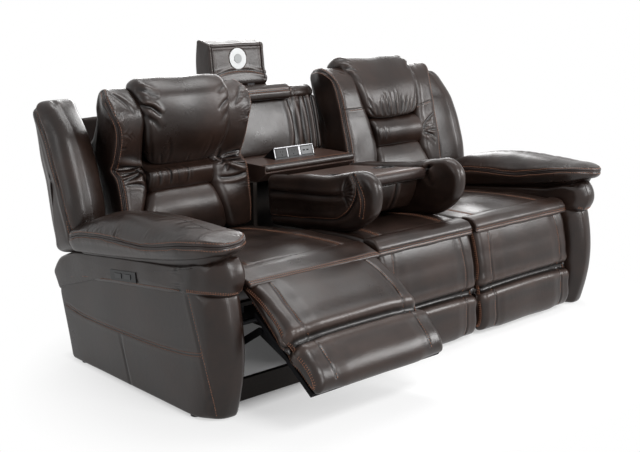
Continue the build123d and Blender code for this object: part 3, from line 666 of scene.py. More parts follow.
def addMesh(name, vertices, faces, material, marks=None):
    mesh = bpy.data.meshes.new(name)
    vertices = np.asarray(vertices, np.float64)
    mesh.vertices.add(len(vertices))
    mesh.vertices.foreach_set("co", vertices.ravel())
    sizes = np.concatenate([np.full(len(f), f.shape[1]) for f in faces])
    loops = np.concatenate([f.ravel() for f in faces])
    mesh.loops.add(len(loops))
    mesh.loops.foreach_set("vertex_index", loops.astype(np.int32))
    mesh.polygons.add(len(sizes))
    mesh.polygons.foreach_set("loop_start", np.concatenate([[0], np.cumsum(sizes)[:-1]]).astype(np.int32))
    mesh.polygons.foreach_set("use_smooth", np.ones(len(sizes), bool))
    mesh.update(calc_edges=True)
    for key, values in (marks or {}).items():
        layer = mesh.attributes.new(key, "FLOAT", "POINT")
        layer.data.foreach_set("value", np.asarray(values, np.float32))
    mesh.materials.append(material)
    mesh.validate()
    return newObject(name, mesh)


def blurGrid(field, spread):  # both ways, wrapping round the outline only
    rows = np.arange(len(field))
    reach = int(spread * 2)
    for axis in (1, 0):
        total, weight = 0, 0
        for step in range(-reach, reach + 1):
            moved = np.roll(field, step, 1) if axis else field[np.clip(rows + step, 0, len(field) - 1)]
            w = bell(step / spread)
            total, weight = total + moved * w, weight + w
        field = total / weight
    return field


def settle(thing, nodes, body, blend=None):
    if nodes:
        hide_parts(*nodes)
    if blend:
        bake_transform(thing)
    else:
        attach(thing, body)


def addSkin(skin, side=1, move=None, material="leather", nodes=(), body="base",
            blend=None):
    # the grid becomes quads with a fan at both poles; faces point outwards on either side
    skin.carve()
    p = skin.points if move is None else move(skin.points)
    nu, nv = p.shape[:2]
    poles = np.array([p[0].mean(0), p[-1].mean(0)])
    out = place(side, np.vstack([p.reshape(-1, 3), poles]))
    quads, fans = gridQuads(nu, nv), endFans(nu, nv)
    a, b, d = out[quads[:, 0]], out[quads[:, 1]], out[quads[:, 3]]
    if (np.cross(b - a, d - a) * (a - out.mean(0))).sum() < 0:
        quads, fans = quads[:, ::-1], fans[:, ::-1]
    # the marks say where the relief lies below its own blur, which takes painted shade, or above it, the crests
    dip = blurGrid(skin.relief, 4.0) - skin.relief
    marks = {"hollow": np.append(np.clip(dip / 2.2, 0, 1).ravel(), [0, 0]),
             "crest": np.append(np.clip(-dip / 2.6, 0, 1).ravel(), [0, 0])}
    thing = addMesh(skin.name, out, [quads, fans], finish[material], marks)
    settle(thing, nodes, body, blend)


sewing, bridges = {}, {}


def collect(kind, key, vertices, faces):
    sewing.setdefault((kind, key), []).append((vertices, faces))


def frames(line, normals):
    t = np.gradient(line, axis=0)
    t = t / np.maximum(np.linalg.norm(t, axis=1, keepdims=True), 1e-9)
    s = np.cross(t, normals)
    s = s / np.maximum(np.linalg.norm(s, axis=1, keepdims=True), 1e-9)
    return t, s, np.cross(s, t)


def laid(skin, line, offset, firstCalm, calm):
    # the line put on the surface, moved sideways by offset and put on it again: along, sideways, outwards
    line, n = skin.snap(line)
    _, s, _ = frames(calmed(line, firstCalm), calmed(n, calm))
    line, n = skin.snap(calmed(line, firstCalm) + s * offset)
    line = calmed(line, calm)
    return line, *frames(line, calmed(n, calm))


def hoops(centre, over, up, radius, sides):  # a ring of points round each point of a line
    turn = np.linspace(0, 2 * pi, sides, endpoint=False)
    return centre[:, None] + radius * (np.cos(turn)[None, :, None] * over[:, None]
                                       + np.sin(turn)[None, :, None] * up[:, None])


def pipe(skin, line, key, radius, offset=0.0, lift=0.2, side=1, move=None, sides=8):
    # a tube of that radius along a line on the surface, moved sideways by offset
    line = evened(line, max(6, int(lengthOf(line) / 5)), False)
    line, t, s, n = laid(skin, line, offset, 10, 10)
    centre = line + n * (radius * lift)
    count = len(line)
    swell = np.ones(count)
    swell[0] = swell[-1] = 0.3
    rings = hoops(centre, s, n, radius * swell[:, None, None], sides)
    if move is not None:
        rings, centre = move(rings), move(centre)
    vertices = place(side, np.vstack([rings.reshape(-1, 3), centre[:1], centre[-1:]]))
    quads, caps = gridQuads(count, sides)[:, [0, 3, 2, 1]], endFans(count, sides)[:, [0, 2, 1]]
    if side < 0:
        quads, caps = quads[:, ::-1], caps[:, ::-1]
    collect("piping", key, vertices, [quads, caps])


def stitches(skin, line, key, offsets=(0.0,), pitch=10.0, length=7.2, radius=1.25, side=1, move=None, cross=False):
    # rows of short threads: each is a five-sided spindle half sunk into the leather
    count = max(4, int(lengthOf(line) / pitch))
    sides, levels = 5, ((-0.5, 0.35, -0.1), (-0.25, 1.0, 0.55), (0.25, 1.0, 0.55), (0.5, 0.35, -0.1))
    each = sides * len(levels)
    first = (np.arange(count) * each)[:, None, None]
    quads = (gridQuads(len(levels), sides)[:, [0, 3, 2, 1]][None] + first).reshape(-1, 4)
    caps = (np.array([[0, 4, 3, 2, 1], [15, 16, 17, 18, 19]])[None] + first).reshape(-1, sides)
    if (side < 0) != cross:
        quads, caps = quads[:, ::-1], caps[:, ::-1]
    for offset in offsets:
        spots, t, s, n = laid(skin, evened(line, count, False), offset, 3, 4)
        axis, over = (s, t) if cross else (t, s)
        rings = [hoops(spots + axis * (at * length) + n * (radius * lift), over, n, radius * size, sides)
                 for at, size, lift in levels]
        block = np.stack(rings, 1).reshape(-1, 3)
        collect("thread", key, place(side, block if move is None else move(block)), [quads, caps])


def pipedSeam(skin, line, key, radius, apart, threads, side, move=None):
    # two pipings side by side, with a row of stitches outside each
    for offset in (-apart, apart):
        pipe(skin, line, key, radius, offset, 0.1, side, move)
    stitches(skin, line, key, (-threads, threads), side=side, move=move)


def joinSewing():
    # one object for each kind and key; a key is a body's name or a bridge's
    for (kind, key), blocks in sewing.items():
        vertices = np.vstack([points for points, _ in blocks])
        bySize, start = {}, 0
        for points, faces in blocks:
            for f in faces:
                bySize.setdefault(f.shape[1], []).append(f + start)
            start += len(points)
        thing = addMesh(f"{kind}_{key}", vertices, [np.vstack(f) for f in bySize.values()], finish[kind])
        settle(thing, (), key, bridges.get(key))
        kind == "piping"


print("tools ready")

# arms: a body with a flat side and a bulging front, an overhanging band, a stuffed pad on top
armSizes = {
    "low": 957.0, "bodyOut": 1123.0, "bandOut": 1131.0,
    "body": [(12, 5), (939, 5), (1012, 262), (1006, 300), (905, 356), (800, 384), (140, 458), (-6, 458)],
    "bodyBows": [0, 0, 4, 0, 0, 0, 0, 40],
    "band": [(-8, 449), (140, 441), (803, 361), (905, 337), (1012, 274), (1057, 344), (1000, 412), (880, 459),
             (180, 538), (-8, 588)],
    "bandBows": [0, 0, 0, 4, 0, 4, 3, 4, 0, 34],
    "frontSeam": [(1128, 128, 441), (1128, 96, 360), (1127, 56, 248), (1122, 24, 120), (1114, 6, 14)],
    "sideSeam": [(1124, 968, 222), (1124, 900, 211), (1124, 821, 205), (1124, 586, 207), (1124, 352, 212),
                 (1124, 160, 227), (1124, 62, 246)],
    "postSeam": [(1124, 569, 196), (1124, 540, 100), (1124, 510, 8)],
    "bandCorner": [(1131, 181, 533), (1133, 176, 490), (1130, 160, 450)],
    "bandFoot": [(1131, 1000, 300), (1131, 905, 356), (1131, 803, 376), (1131, 480, 416), (1131, 165, 455)],
    "hem": [(1128, 120, 462), (1110, 10, 468), (1040, -24, 468), (975, -10, 466)],
    "roundReach": 150, "roundOuter": 34, "roundInner": 26, "noseMiddle": 1024, "noseBow": 30,
}
padSizes = {
    "low": 932.0, "out": 1168.0,
    "pipingAt": [-60, 6, 121, 233, 325, 455, 620, 760, 842, 880],
    "piping": [634, 640, 626, 602, 588, 582, 570, 552, 528, 508],
    "footAt": [-60, -20, 60, 218, 387, 568, 741, 861],
    "foot": [604, 600, 583, 553, 526, 501, 480, 468],
    "crestAt": [-54, -20, 60, 160, 300, 410, 520, 640, 740, 832, 872],
    "crest": [640, 656, 671, 679, 681, 676, 666, 646, 614, 570, 524],
    "drawnIn": 0.84, "sunk": 36, "spineEnds": (66, 782),
    # reach, pitch, height, seed, start and stop of the gathers, the last two as shares of the piping
    "gathers": ((44, 20, 4.4, 11, 0.53, 0.66), (46, 23, 4.8, 12, 0.70, 0.84), (34, 24, 3.2, 15, 0.40, 0.53),
                (30, 34, 1.8, 13, 0.05, 0.4)),
}


def padShell(name, nv=340):
    # plan outline, shells inwards to a spine line: top height = piping + crown x (1 - share^p)^q,
    # and below the piping an under-band that draws in to the arm
    s = padSizes
    low, out = s["low"], s["out"]
    cx = (low + out) / 2
    plan = outline([(low, 870), (low - 1, 110), (low + 22, 10), (cx - 28, -56), (cx + 38, -50), (out - 26, 4),
                    (out + 1, 130), (out, 862)], None, 26, nv)
    x, y = plan[:, 0], plan[:, 1]
    pipeZ = np.interp(y, s["pipingAt"], s["piping"]) + (1 - band(x, cx - 40, cx + 60)) * 6
    lowZ = np.interp(y, s["footAt"], s["foot"]) + 2
    spine = np.stack([np.full(nv, cx + 4.0), np.clip(y, *s["spineEnds"])], 1)
    crestZ = np.interp(spine[:, 1], s["crestAt"], s["crest"])
    rows = []
    for k in np.linspace(0, 1, 18, endpoint=False)[1:]:  # underside, sunk into the arm well inside its edge
        sink = s["sunk"] * (1 - band(k, 0.58, 0.84))
        rows.append(np.column_stack([spine + (plan - spine) * k * s["drawnIn"], lowZ + 3 - sink]))
    for k in np.linspace(0, 1, 16, endpoint=False):  # under-band, full and drawn in at its foot
        inset = s["drawnIn"] + (1 - s["drawnIn"]) * np.sin(k * pi / 2) ** 0.7
        rows.append(np.column_stack([spine + (plan - spine) * inset, lowZ + (pipeZ - lowZ) * (0.02 + 0.98 * k)]))
    pipingRow = len(rows)
    for k in np.linspace(0, 1, 70, endpoint=False):  # crown
        share = 1 - k ** 1.35
        rise = (1 - share ** 2.7) ** 0.62
        rows.append(np.column_stack([spine + (plan - spine) * share, pipeZ + (crestZ - pipeZ) * rise]))
    skin = Skin(name, np.array(rows))
    skin.pipingRow = pipingRow
    return skin


def frontRound(skin, flush):
    # towards the front both sides turn in over a quarter ellipse, and the outer one gives up its overhang;
    # the nose itself bows in plan
    s, p = armSizes, skin.points
    front = p[len(p) // 2]
    front = front[front[:, 1] < 70]
    front = front[np.argsort(front[:, 2])]
    nose = np.interp(p[..., 2], front[:, 2], front[:, 1])
    share = np.clip((nose + s["roundReach"] - p[..., 1]) / s["roundReach"], 0, 1)
    drop = 1 - np.sqrt(1 - 0.96 * share ** 2)
    x = p[..., 0].copy()
    p[..., 0] -= (s["roundOuter"] * drop + flush * band(share, 0.0, 0.35)) * band(x, 958, 1134)
    p[..., 0] += s["roundInner"] * drop * band(-x, -1032, -957)
    p[..., 1] += s["noseBow"] * ((p[..., 0] - s["noseMiddle"]) / 80) ** 2 * share ** 2
    skin.renew()


def armBody(side, seed):
    tag, s = sideName(side), armSizes
    skin = loft("arm_body_" + tag, (s["body"], s["bodyBows"]), s["low"], s["bodyOut"], 10, nu=60, nv=310,
                spread=9, dome=2, rollLow=12, capHigh=50, rollAt=lambda r: 1 + 4.4 * band(-r[:, 0], -90, 20))
    frontRound(skin, 0)
    front = skin.seam(s["frontSeam"], 60)
    skin.groove(front, 5, 3.0, 0.25)
    along = skin.seam(s["sideSeam"], 80)
    skin.groove(along, 5, 2.4, 0.25)
    skin.groove(skin.seam(s["postSeam"], 30), 4.5, 2.8, 0.1)
    skin.lumps(0.6, 1, 2, 300, seed)
    addSkin(skin, side, nodes=["arm_cover_" + tag])
    stitches(skin, front, "base", (7,), side=side)
    stitches(skin, along, "base", (6, -6), side=side)


def armBand(side, seed):
    tag, s = sideName(side), armSizes
    skin = loft("arm_band_" + tag, (s["band"], s["bandBows"]), s["low"], s["bandOut"], 15, nu=60, nv=310,
                spread=8, dome=4, rollLow=14, capHigh=26, rollAt=lambda r: 1 + 2.4 * band(-r[:, 0], -90, 20))
    frontRound(skin, 7)
    skin.groove(skin.seam(s["bandCorner"], 20), 5, 3.0, 0.5)
    skin.lumps(0.8, 1, 2, 160, seed + 5)
    addSkin(skin, side, nodes=["arm_cover_" + tag])
    stitches(skin, skin.seam(s["bandFoot"], 60), "base", side=side)
    hem = skin.seam(s["hem"], 60)
    stitches(skin, hem, "base", (3,), 8, 6.5, side=side, cross=True)
    stitches(skin, hem, "base", (-3,), 8, side=side)


def armPad(side, seed):
    skin = padShell("arm_pad_" + sideName(side))
    line = skin.column(skin.pipingRow, 0, 1, 420)
    skin.groove(line, 7, 5.5, 0.35)
    # lengths along the piping run from the rear inner corner forward, round the nose and back outside
    total = lengthOf(line)
    for reach, pitch, height, more, start, stop in padSizes["gathers"]:
        skin.gathers(line, reach, pitch, height, seed + more, (0, 0, 1.0), total * start, total * stop)
    skin.gathers(line, 24, 30, 1.5, seed + 14, (0, 0, -1.0), 100, total)
    skin.lumps(2.4, 1, 0, 210, seed + 2, band(skin.points[..., 2], 590, 640))
    r = rng(seed + 3)
    for k in range(7):
        middle, turn = np.array([r.uniform(1030, 1110), 130 + 85 * k, 690]), r.uniform(0.5, 1.3)
        half = np.array([40 * sin(turn), 40 * cos(turn), 0])
        skin.fold(middle - half, middle + half, 9, 1.6, r.uniform(-8, 8))
    addSkin(skin, side, nodes=[skin.name])
    pipedSeam(skin, line, "base", 4.0, 4.6, 13, side)


for side, seed in ((-1, 3), (1, 40)):
    armBody(side, seed)
    armBand(side, seed)
    armPad(side, seed)
print("arms made")

# wings beside the seat backs
wingSizes = {
    "low": 964.0, "out": 1165.0, "crest": 1080.0, "slant": 74.0,
    "seam": [(1120, 1120, 1014), (1146, 1085, 1008), (1150, 1030, 952), (1150, 980, 882), (1150, 919, 753),
             (1150, 873, 632), (1148, 846, 560), (1140, 838, 500)],
}


def wingRing(x):  # the front edge slants back towards the seat
    s = wingSizes
    back = s["slant"] * max(0.0, (s["crest"] - x) / (s["crest"] - s["low"])) ** 1.3
    return [(985, 432), (1113, 945), (1126, 985), (1072 + back / 3, 1034), (985 + back, 992), (905 + back, 905),
            (822 + back, 700), (800 + back, 584), (838 + back * 0.6, 470)], [0, 4, 8, 10, 4, 4, 3, 4, 4]


def wing(side, seed):
    s, body = wingSizes, "back_" + sideName(side)
    skin = loft("wing_" + sideName(side), wingRing, s["low"], s["out"], 58, nu=90, nv=230, spread=14, rollLow=34)
    line = skin.seam(s["seam"], 90)
    skin.groove(line, 7, 5.5, 0.6)
    skin.gathers(line, 34, 19, 3.4, seed, (0, -1.0, 0), 40, 300)
    skin.gathers(line, 26, 30, 1.4, seed + 1, (0, -1.0, 0), 300, 620)
    skin.fold((1118, 1098, 1030), (1160, 1070, 975), 8, 4, 5)
    skin.fold((1090, 1060, 1035), (1100, 1010, 1000), 9, 2.4, 5)
    skin.lumps(1.5, 1, 2, 170, seed + 4)
    addSkin(skin, side, nodes=[skin.name], body=body)
    pipedSeam(skin, line, body, 3.8, 4.4, 12, side)


wing(-1, 59)
wing(1, 61)
print("wings made")

# seats: cushion, footrest pad or fixed front, all cut in the same way
seatSizes = {"front": 119.0, "deck": 367.0, "frontTop": 503.0, "strip": 96.0, "crease": 300.0, "length": 486.0,
             "depth": 40.0, "pivot": (30, 525), "stuffing": 4.5}


def seatCushion(name, low, high, rear, rearTop, seed, side):
    s = seatSizes
    ring = [(s["front"] + 5, s["deck"] + 6), (rear, s["deck"]), (rear, rearTop), (s["front"] + 3, s["frontTop"])]
    skin = loft(name, (ring, [0, 0, 17, 4]), low, high, 26, nu=106, nv=156, spread=13, dome=3,
                rollAt=lambda r: 0.25 + 0.75 * band(r[:, 1], 400, 440))
    for x in (low + s["strip"] + 4, high - s["strip"] - 4):
        line = skin.seam([(x, 120, 505), (x, (rear + 120) / 2, 490), (x, rear, rearTop)], 50)
        skin.groove(line, 7, 4.0, 0.6)
        skin.gathers(line, 20, 34, 1.2, seed + int(x) % 7)
        stitches(skin, line, "base", (-6, 6), side=side)
    skin.lumps(2.6, 0, 1, 230, seed, band(skin.points[..., 2], 430, 460))
    addSkin(skin, side, nodes=[name])


def padFront(r):  # 1 on the front of the pad, 0 on its back, smooth between
    return band(-(r[:, 0] - (padTop[0] - (padTop[1] - r[:, 1]) * 0.158)), -30, 20)


def frontPad(name, low, high, seed, side, opened=0.0, body="base"):
    # cushion and toe roll parted by a sewn crease, between two side strips
    s = seatSizes
    crease, length, deep = s["crease"], s["length"], s["depth"] - 1
    ring = [padPoint(b, e) for b, e in ((16, deep), (-4, 34), (2, 0), (150, -34), (crease, -20), (400, -30),
                                        (length - 8, -8), (length, deep))]
    skin = loft(name + "_cover", (ring, [0, 4, 10, 10, 8, 8, 6, 0]), low, high, 34, nu=146, nv=214, spread=11,
                rollAt=lambda r: 0.45 + 0.55 * padFront(r))
    left, right = low + s["strip"] - 8, high - s["strip"] + 8
    line = skin.seam([onPad(low - 10, crease + 8, 20), onPad(low + 16, crease + 8, -10), onPad(left, crease, -20),
                      onPad((left + right) / 2, crease - 4, -26), onPad(right, crease, -20),
                      onPad(high - 16, crease + 8, -10), onPad(high + 10, crease + 8, 20)], 110)
    skin.groove(line, 15, 17, 0.42)
    skin.gathers(line, 30, 44, 1.0, seed, None, 60, 900)
    sides = []
    for x, d in ((left, -1), (right, 1)):
        bend = 16 * d
        up = skin.seam([onPad(x - bend * 0.4, -8, 20), onPad(x, 20, -12), onPad(x + bend * 0.8, 150, -34),
                        onPad(x + bend, 240, -30), onPad(x + bend * 0.4, 292, -20)], 60)
        down = skin.seam([onPad(x + bend * 0.4, 310, -20), onPad(x + bend * 0.2, 400, -30), onPad(x, 472, -16)], 30)
        skin.groove(up, 4.2, 4.2, 0.12)
        skin.groove(down, 4.2, 4.2, 0.12)
        skin.gathers(up, 18, 36, 0.7, seed + 3 + d, None, 40, 300)
        sides += [up, down]
    # the middle panel is stuffed fuller than the strips
    x = skin.points[..., 0]
    skin.push(s["stuffing"] * (band(x, left, left + 60) * band(-x, -right, -right + 60)))
    skin.lumps(2.0, 0, 2, 260, seed + 9)
    move = turning(s["pivot"], opened)
    addSkin(skin, side, move, nodes=[name], body=body)
    for line in sides:
        stitches(skin, line, body, (5,), side=side, move=move)
    for index in (skin.seamLow + 3, skin.seamHigh - 3):
        edge = skin.column(index, 0.06, 0.94, 160)
        stitches(skin, edge, body, (-3.5,), 9, side=side, move=move)
        stitches(skin, edge, body, (3.5,), 9, side=side, move=move, cross=True)


# the leather that runs from the cushion over the front edge on to the footrest, sewn down at its front;
# ends says where its bending starts and stops
lipSizes = {
    "open": dict(ring=[(2, 461), (44, 458), (128, 474), (130, 505), (92, 503), (48, 490), (8, 478)],
                 seam=((12, 479), (12, 480), (12, 479)), ends=((118, 496), (42, 482))),
    "closed": dict(ring=[(35, 448), (62, 452), (92, 478), (130, 480), (130, 507), (92, 512), (58, 506), (38, 484)],
                   seam=((37, 466), (36, 467), (37, 466)), ends=((118, 500), (44, 478))),
}


def seatLip(name, low, high, seed, side, state, moving=None):
    s, middle = lipSizes[state], (low + high) / 2
    skin = loft("seat_lip_" + name, (s["ring"], None), low, high, 12, nu=116, nv=84, spread=6, dome=2)
    line = skin.seam([(x, *at) for x, at in zip((low + 8, middle, high - 8), s["seam"])], 70)
    skin.groove(line, 5, 3, 0.2)
    skin.gathers(line, 26, 40, 1.0, seed, (0, 1.0, 0.3))
    skin.lumps(1.4, 0, 1, 170, seed)
    key = "lip_" + name if moving else "base"
    if moving:
        bridges[key] = ("base", moving, *[tuple(place(side, np.array([middle, *end]))) for end in s["ends"]])
    addSkin(skin, side, blend=bridges.get(key))
    stitches(skin, line, key, (-5, 5), side=side)


seatCushion("seat_cushion_left", 295, 954, 868, 440, 21, -1)
seatCushion("seat_cushion_right", 295, 954, 868, 440, 22, 1)
seatCushion("seat_cushion_middle", -285, 285, 503, 476, 23, 1)
frontPad("footrest_pad_left", 305, 944, 31, -1, 45.0, "footrest_left")
frontPad("footrest_pad_right", 305, 944, 32, 1, 0.0, "footrest_right")
frontPad("middle_front_pad", -283, 283, 33, 1)
seatLip("left", 303, 946, 34, -1, "open", "footrest_left")
seatLip("right", 303, 946, 35, 1, "closed", "footrest_right")
seatLip("middle", -283, 283, 36, 1, "closed")
print("seats and footrests made")

# seat backs, drawn on the right-hand half: lumbar panel, roll, bolsters, head pillow. Lengths are up the back
# and forward from its rear face; the two seams part the middle cushions from the bolsters.
backSizes = {
    "front": 32.0, "low": 94.0, "rollLow": {"left": 302.0, "right": 350.0}, "split": 476.0, "top": 752.0,
    "hinge": (478.0, 110.0), "bend": (345.0, 505.0), "posedBend": (355.0, 397.0),
    "seamAt": (80, 220, 300, 360, 476, 545, 630, 760),
    "seamIn": (432, 478, 497, 497, 480, 452, 434, 428),
    "seamOut": (874, 838, 806, 802, 806, 816, 824, 832),
    "columns": (480, 800), "pillowHalf": 232,
    "shell": [(-10, 36), (-10, -1), (624, -1), (624, 36)], "shellSides": (297, 951), "shellSeam": 70,
}


def seamIn(u):  # x of the line between the middle cushions and the inner bolster
    return np.interp(u, backSizes["seamAt"], backSizes["seamIn"])


def seamOut(u):  # and of the one beside the outer bolster
    return np.interp(u, backSizes["seamAt"], backSizes["seamOut"])


def backRing(corners):
    return [backPoint(u, v) for u, v in corners]


def forward(y, z):  # grows towards the front, the same all the way up the leaning back
    return (z - backFoot[1]) * 0.205 - y


def frontOnly(ring):  # the full edge round in front, a third of it at the rear
    return 0.3 + 0.7 * band(forward(ring[:, 0], ring[:, 1]), -1010, -900)


def bent(tilt):  # drawn upright, then bent forward as it stands in the photograph
    hinge = backPoint(*backSizes["hinge"])
    return lambda points: turned(points, hinge, -tilt * band(heightUp(points), *backSizes["bend"]))


def backShell(side):
    # the upholstered rear of a seat back, with rounded edges, over its boards
    tag, s = sideName(side), backSizes
    low, high = s["shellSides"]
    skin = loft("back_shell_" + tag, (backRing(s["shell"]), [0, 2, 0, 0]), low, high, 12, nu=84, nv=124, spread=5,
                dome=2)
    for x in (low + s["shellSeam"], high - s["shellSeam"]):
        skin.groove(skin.seam([onBack(x, u, -4) for u in (0, 300, 615)], 30), 5, 3, 0.4)
    skin.lumps(1.6, 0, 2, 260, 5 + side)
    addSkin(skin, side, material="back", nodes=["back_cover_" + tag, "back_board_" + tag], body="back_" + tag)


def betweenSeams(skin, over):  # columns spread between the two seams, and past them by over
    p = skin.points
    low, high = backSizes["columns"]
    share = (p[..., 0] - low) / (high - low)
    inner, outer = seamIn(heightUp(p)) - over, seamOut(heightUp(p)) + over
    p[..., 0] = inner + (outer - inner) * share
    skin.renew()


def lumbarPanel(side, seed):
    tag, s = sideName(side), backSizes
    f, seam = s["front"], s["rollLow"][tag]
    ring = backRing([(s["low"], 232), (s["low"], f), (seam, f), (seam - 4, 232)])
    skin = loft("lumbar_panel_" + tag, (ring, [4, 0, 0, 34]), *s["columns"], 34, nu=90, nv=140, dome=3,
                rollAt=frontOnly)
    betweenSeams(skin, 6)
    skin.lumps(2.4, 0, 2, 240, seed)
    addSkin(skin, side, nodes=["back_panel_" + tag], body="back_" + tag)


def backRoll(side, seed, tilt):
    # the roll above the panel, creased where the headrest bends it
    tag, s = sideName(side), backSizes
    f, high, seam = s["front"], s["split"], s["rollLow"][tag]
    ring = backRing([(seam - 12, 236), (seam + 1, f), (high, f), (high + 4, 222)])
    skin = loft("back_roll_" + tag, (ring, [4, 0, 3, 40]), *s["columns"], 18, nu=116, nv=144, spread=14, dome=3,
                rollAt=frontOnly)
    betweenSeams(skin, 8)
    r = rng(seed + 50)
    for k in range(11 if tilt else 4):
        x = laneMid + (r.uniform(-20, 165) if tilt else r.uniform(-130, -60))
        skin.fold(onBack(x, seam - 2, 266), onBack(x + r.uniform(-14, 14), high - 30, 268), r.uniform(4, 7),
                  r.uniform(2.4, 4.6) if tilt else r.uniform(1.2, 2.4), r.uniform(-8, 8))
    skin.lumps(1.4, 0, 2, 120, seed + 1)
    addSkin(skin, side, bent(tilt) if tilt else None, nodes=["back_panel_" + tag], blend=bridges["bridge_" + tag])


def pinchFolds(skin, edge, near, middle, outer, r):
    # creases that sweep in from the outer edge to a knot near the seam, above and below it
    # (drawn wide, since the bend shortens this stretch to a third), and a star round the knot
    level = 428
    knot = near + 4 if outer > 0 else middle + 24
    for k in range(6):
        at = 352 + 30 * k
        skin.fold(onBack(edge, at - 6, 244),
                  onBack(knot - outer * r.uniform(0, 12), level + (at - level) * 0.42, 264),
                  r.uniform(9, 12), r.uniform(9, 13), r.uniform(8, 18) * np.sign(at - level) * outer, 0.8)
    for k in range(5):
        turn = -1.2 + 0.6 * k
        skin.fold(onBack(knot, level, 266), onBack(knot - outer * 46 * cos(turn), level + 100 * sin(turn), 262),
                  r.uniform(6, 8), 7, r.uniform(-12, 12), 0.8)
    skin.fold(onBack(edge, 322, 246), onBack(near, 312, 268), 7, 6, 14, 0.7)


def uprightSeam(skin, edge, near, middle, outer, r):
    # the seam across an upright bolster, with creases under it on the outer one
    ends = ((seamOut(512), 512), (edge, 534)) if outer > 0 else ((edge, 530), (seamIn(528), 534))
    line = skin.seam([onBack(*ends[0], 240), onBack(middle, 528, 250), onBack(*ends[1], 244)], 40)
    skin.groove(line, 3.2, 2.6, 0.3)
    for k in range(8 if outer > 0 else 0):
        skin.fold(onBack(near, 402 - 4 * k, 258), onBack(middle + r.uniform(0, 44), 470 - 22 * k, 262),
                  r.uniform(5, 8), 5.2 - 0.3 * k, r.uniform(-10, 10))
    return line


def bolster(side, seed, tilt, outer):
    # one stuffed roll from the seat to the curled ear; it bends with the headrest across the pinch
    tag, s = sideName(side), backSizes
    key, out = "bridge_" + tag, outer > 0
    x0, x1 = (s["columns"][1], laneOut - 3) if out else (laneIn + 3, 490)
    slim = 16 if out and tilt else 0
    ring = backRing([(s["low"], 226 - slim), (s["low"], s["front"]), (484, s["front"]), (500, 44), (716, 36),
                     (742, 64), (740, 136), (704, 200), (636, 232), (548, 244), (484, 246), (420, 252 - slim),
                     (280, 256 - slim)])

    def edgeRound(r):  # a tighter round at the ear
        return frontOnly(r) * (1 - 0.4 * band(heightUp(np.column_stack([r[:, 0], r])), 600, 700))

    skin = loft(f"bolster_{'outer' if out else 'inner'}_{tag}", (ring, [5, 0, 0, 0, 3, 4, 5, 3, 3, 2, 0, 2, 8]),
                x0, x1, 46, nu=94, nv=350, spread=11, dome=4, rollAt=edgeRound)
    # share runs from the seam beside the middle cushions to the outer edge, which clears the arm pad
    # below and curls outwards at the top
    p = skin.points
    u = heightUp(p)
    share = (p[..., 0] - x0) / (x1 - x0) if out else (x1 - p[..., 0]) / (x1 - x0)
    curl = band(u, 650, 722) * band(forward(p[..., 1], p[..., 2]), -930, -850)
    edge = (x1 - 14 * (1 - band(u, 180, 470)) + 8 * band(u, 600, 660) + 30 * curl) if out else x0 - 4 - 16 * curl
    near = seamOut(u) - 6 if out else seamIn(u) + 6
    p[..., 0] = near + (edge - near) * share
    skin.renew()
    # the piped seam runs half way round the edge, from the ear's tip down the front
    index = skin.seamHigh - skin.turnSteps // 2 if out else skin.seamLow + skin.turnSteps // 2
    first = int(np.argmax(heightUp(skin.points[index]))) / len(skin.points[index])
    line = skin.column(index, first - 0.02, 0.995, 190)
    length = lengthOf(line)
    skin.groove(line, 5.5, 4.2, 0.3)
    inwards = (-outer, 0, 0)
    skin.gathers(line, 36, 18, 6.4 if tilt else 3.0, seed + 20 + outer, inwards, 20, length * 0.42)
    skin.gathers(line, 24, 27, 1.5, seed + 24 + outer, inwards, length * 0.5, length)
    edge, near = (x1 - 6, 812) if out else (x0 + 4, 486)
    middle = (edge + near) / 2
    across = (pinchFolds if tilt else uprightSeam)(skin, edge, near, middle, outer, rng(seed + 7 * outer))
    skin.fold(onBack(edge, 712, 96), onBack(middle, 700, 196), 9, 3.4, 5)
    skin.lumps(1.7, 0, 2, 150, seed + 8 + outer)
    move = bent(tilt)
    addSkin(skin, side, move, nodes=["back_bolsters_" + tag, "head_bolsters_" + tag],
            blend=bridges[key])
    pipedSeam(skin, line, key, 3.0, 4.0, 10.5, side, move)
    if across is not None:
        stitches(skin, across, key, (4,), side=side)


def pillowRing(x):
    # the lower edge rounds up towards both sides, so the pillow hangs like an apron
    low, top = backSizes["split"], backSizes["top"]
    lift = 24 * (abs(x - laneMid) / 222) ** 4
    return backRing([(low - 4 + lift, 250), (low + 16 + lift, 150), (500, 78), (500, 42), (top - 6, 40),
                     (top + 34, 70), (top + 40, 124), (top + 6, 184)]), [6, 4, 0, 0, 6, 6, 5, 36]


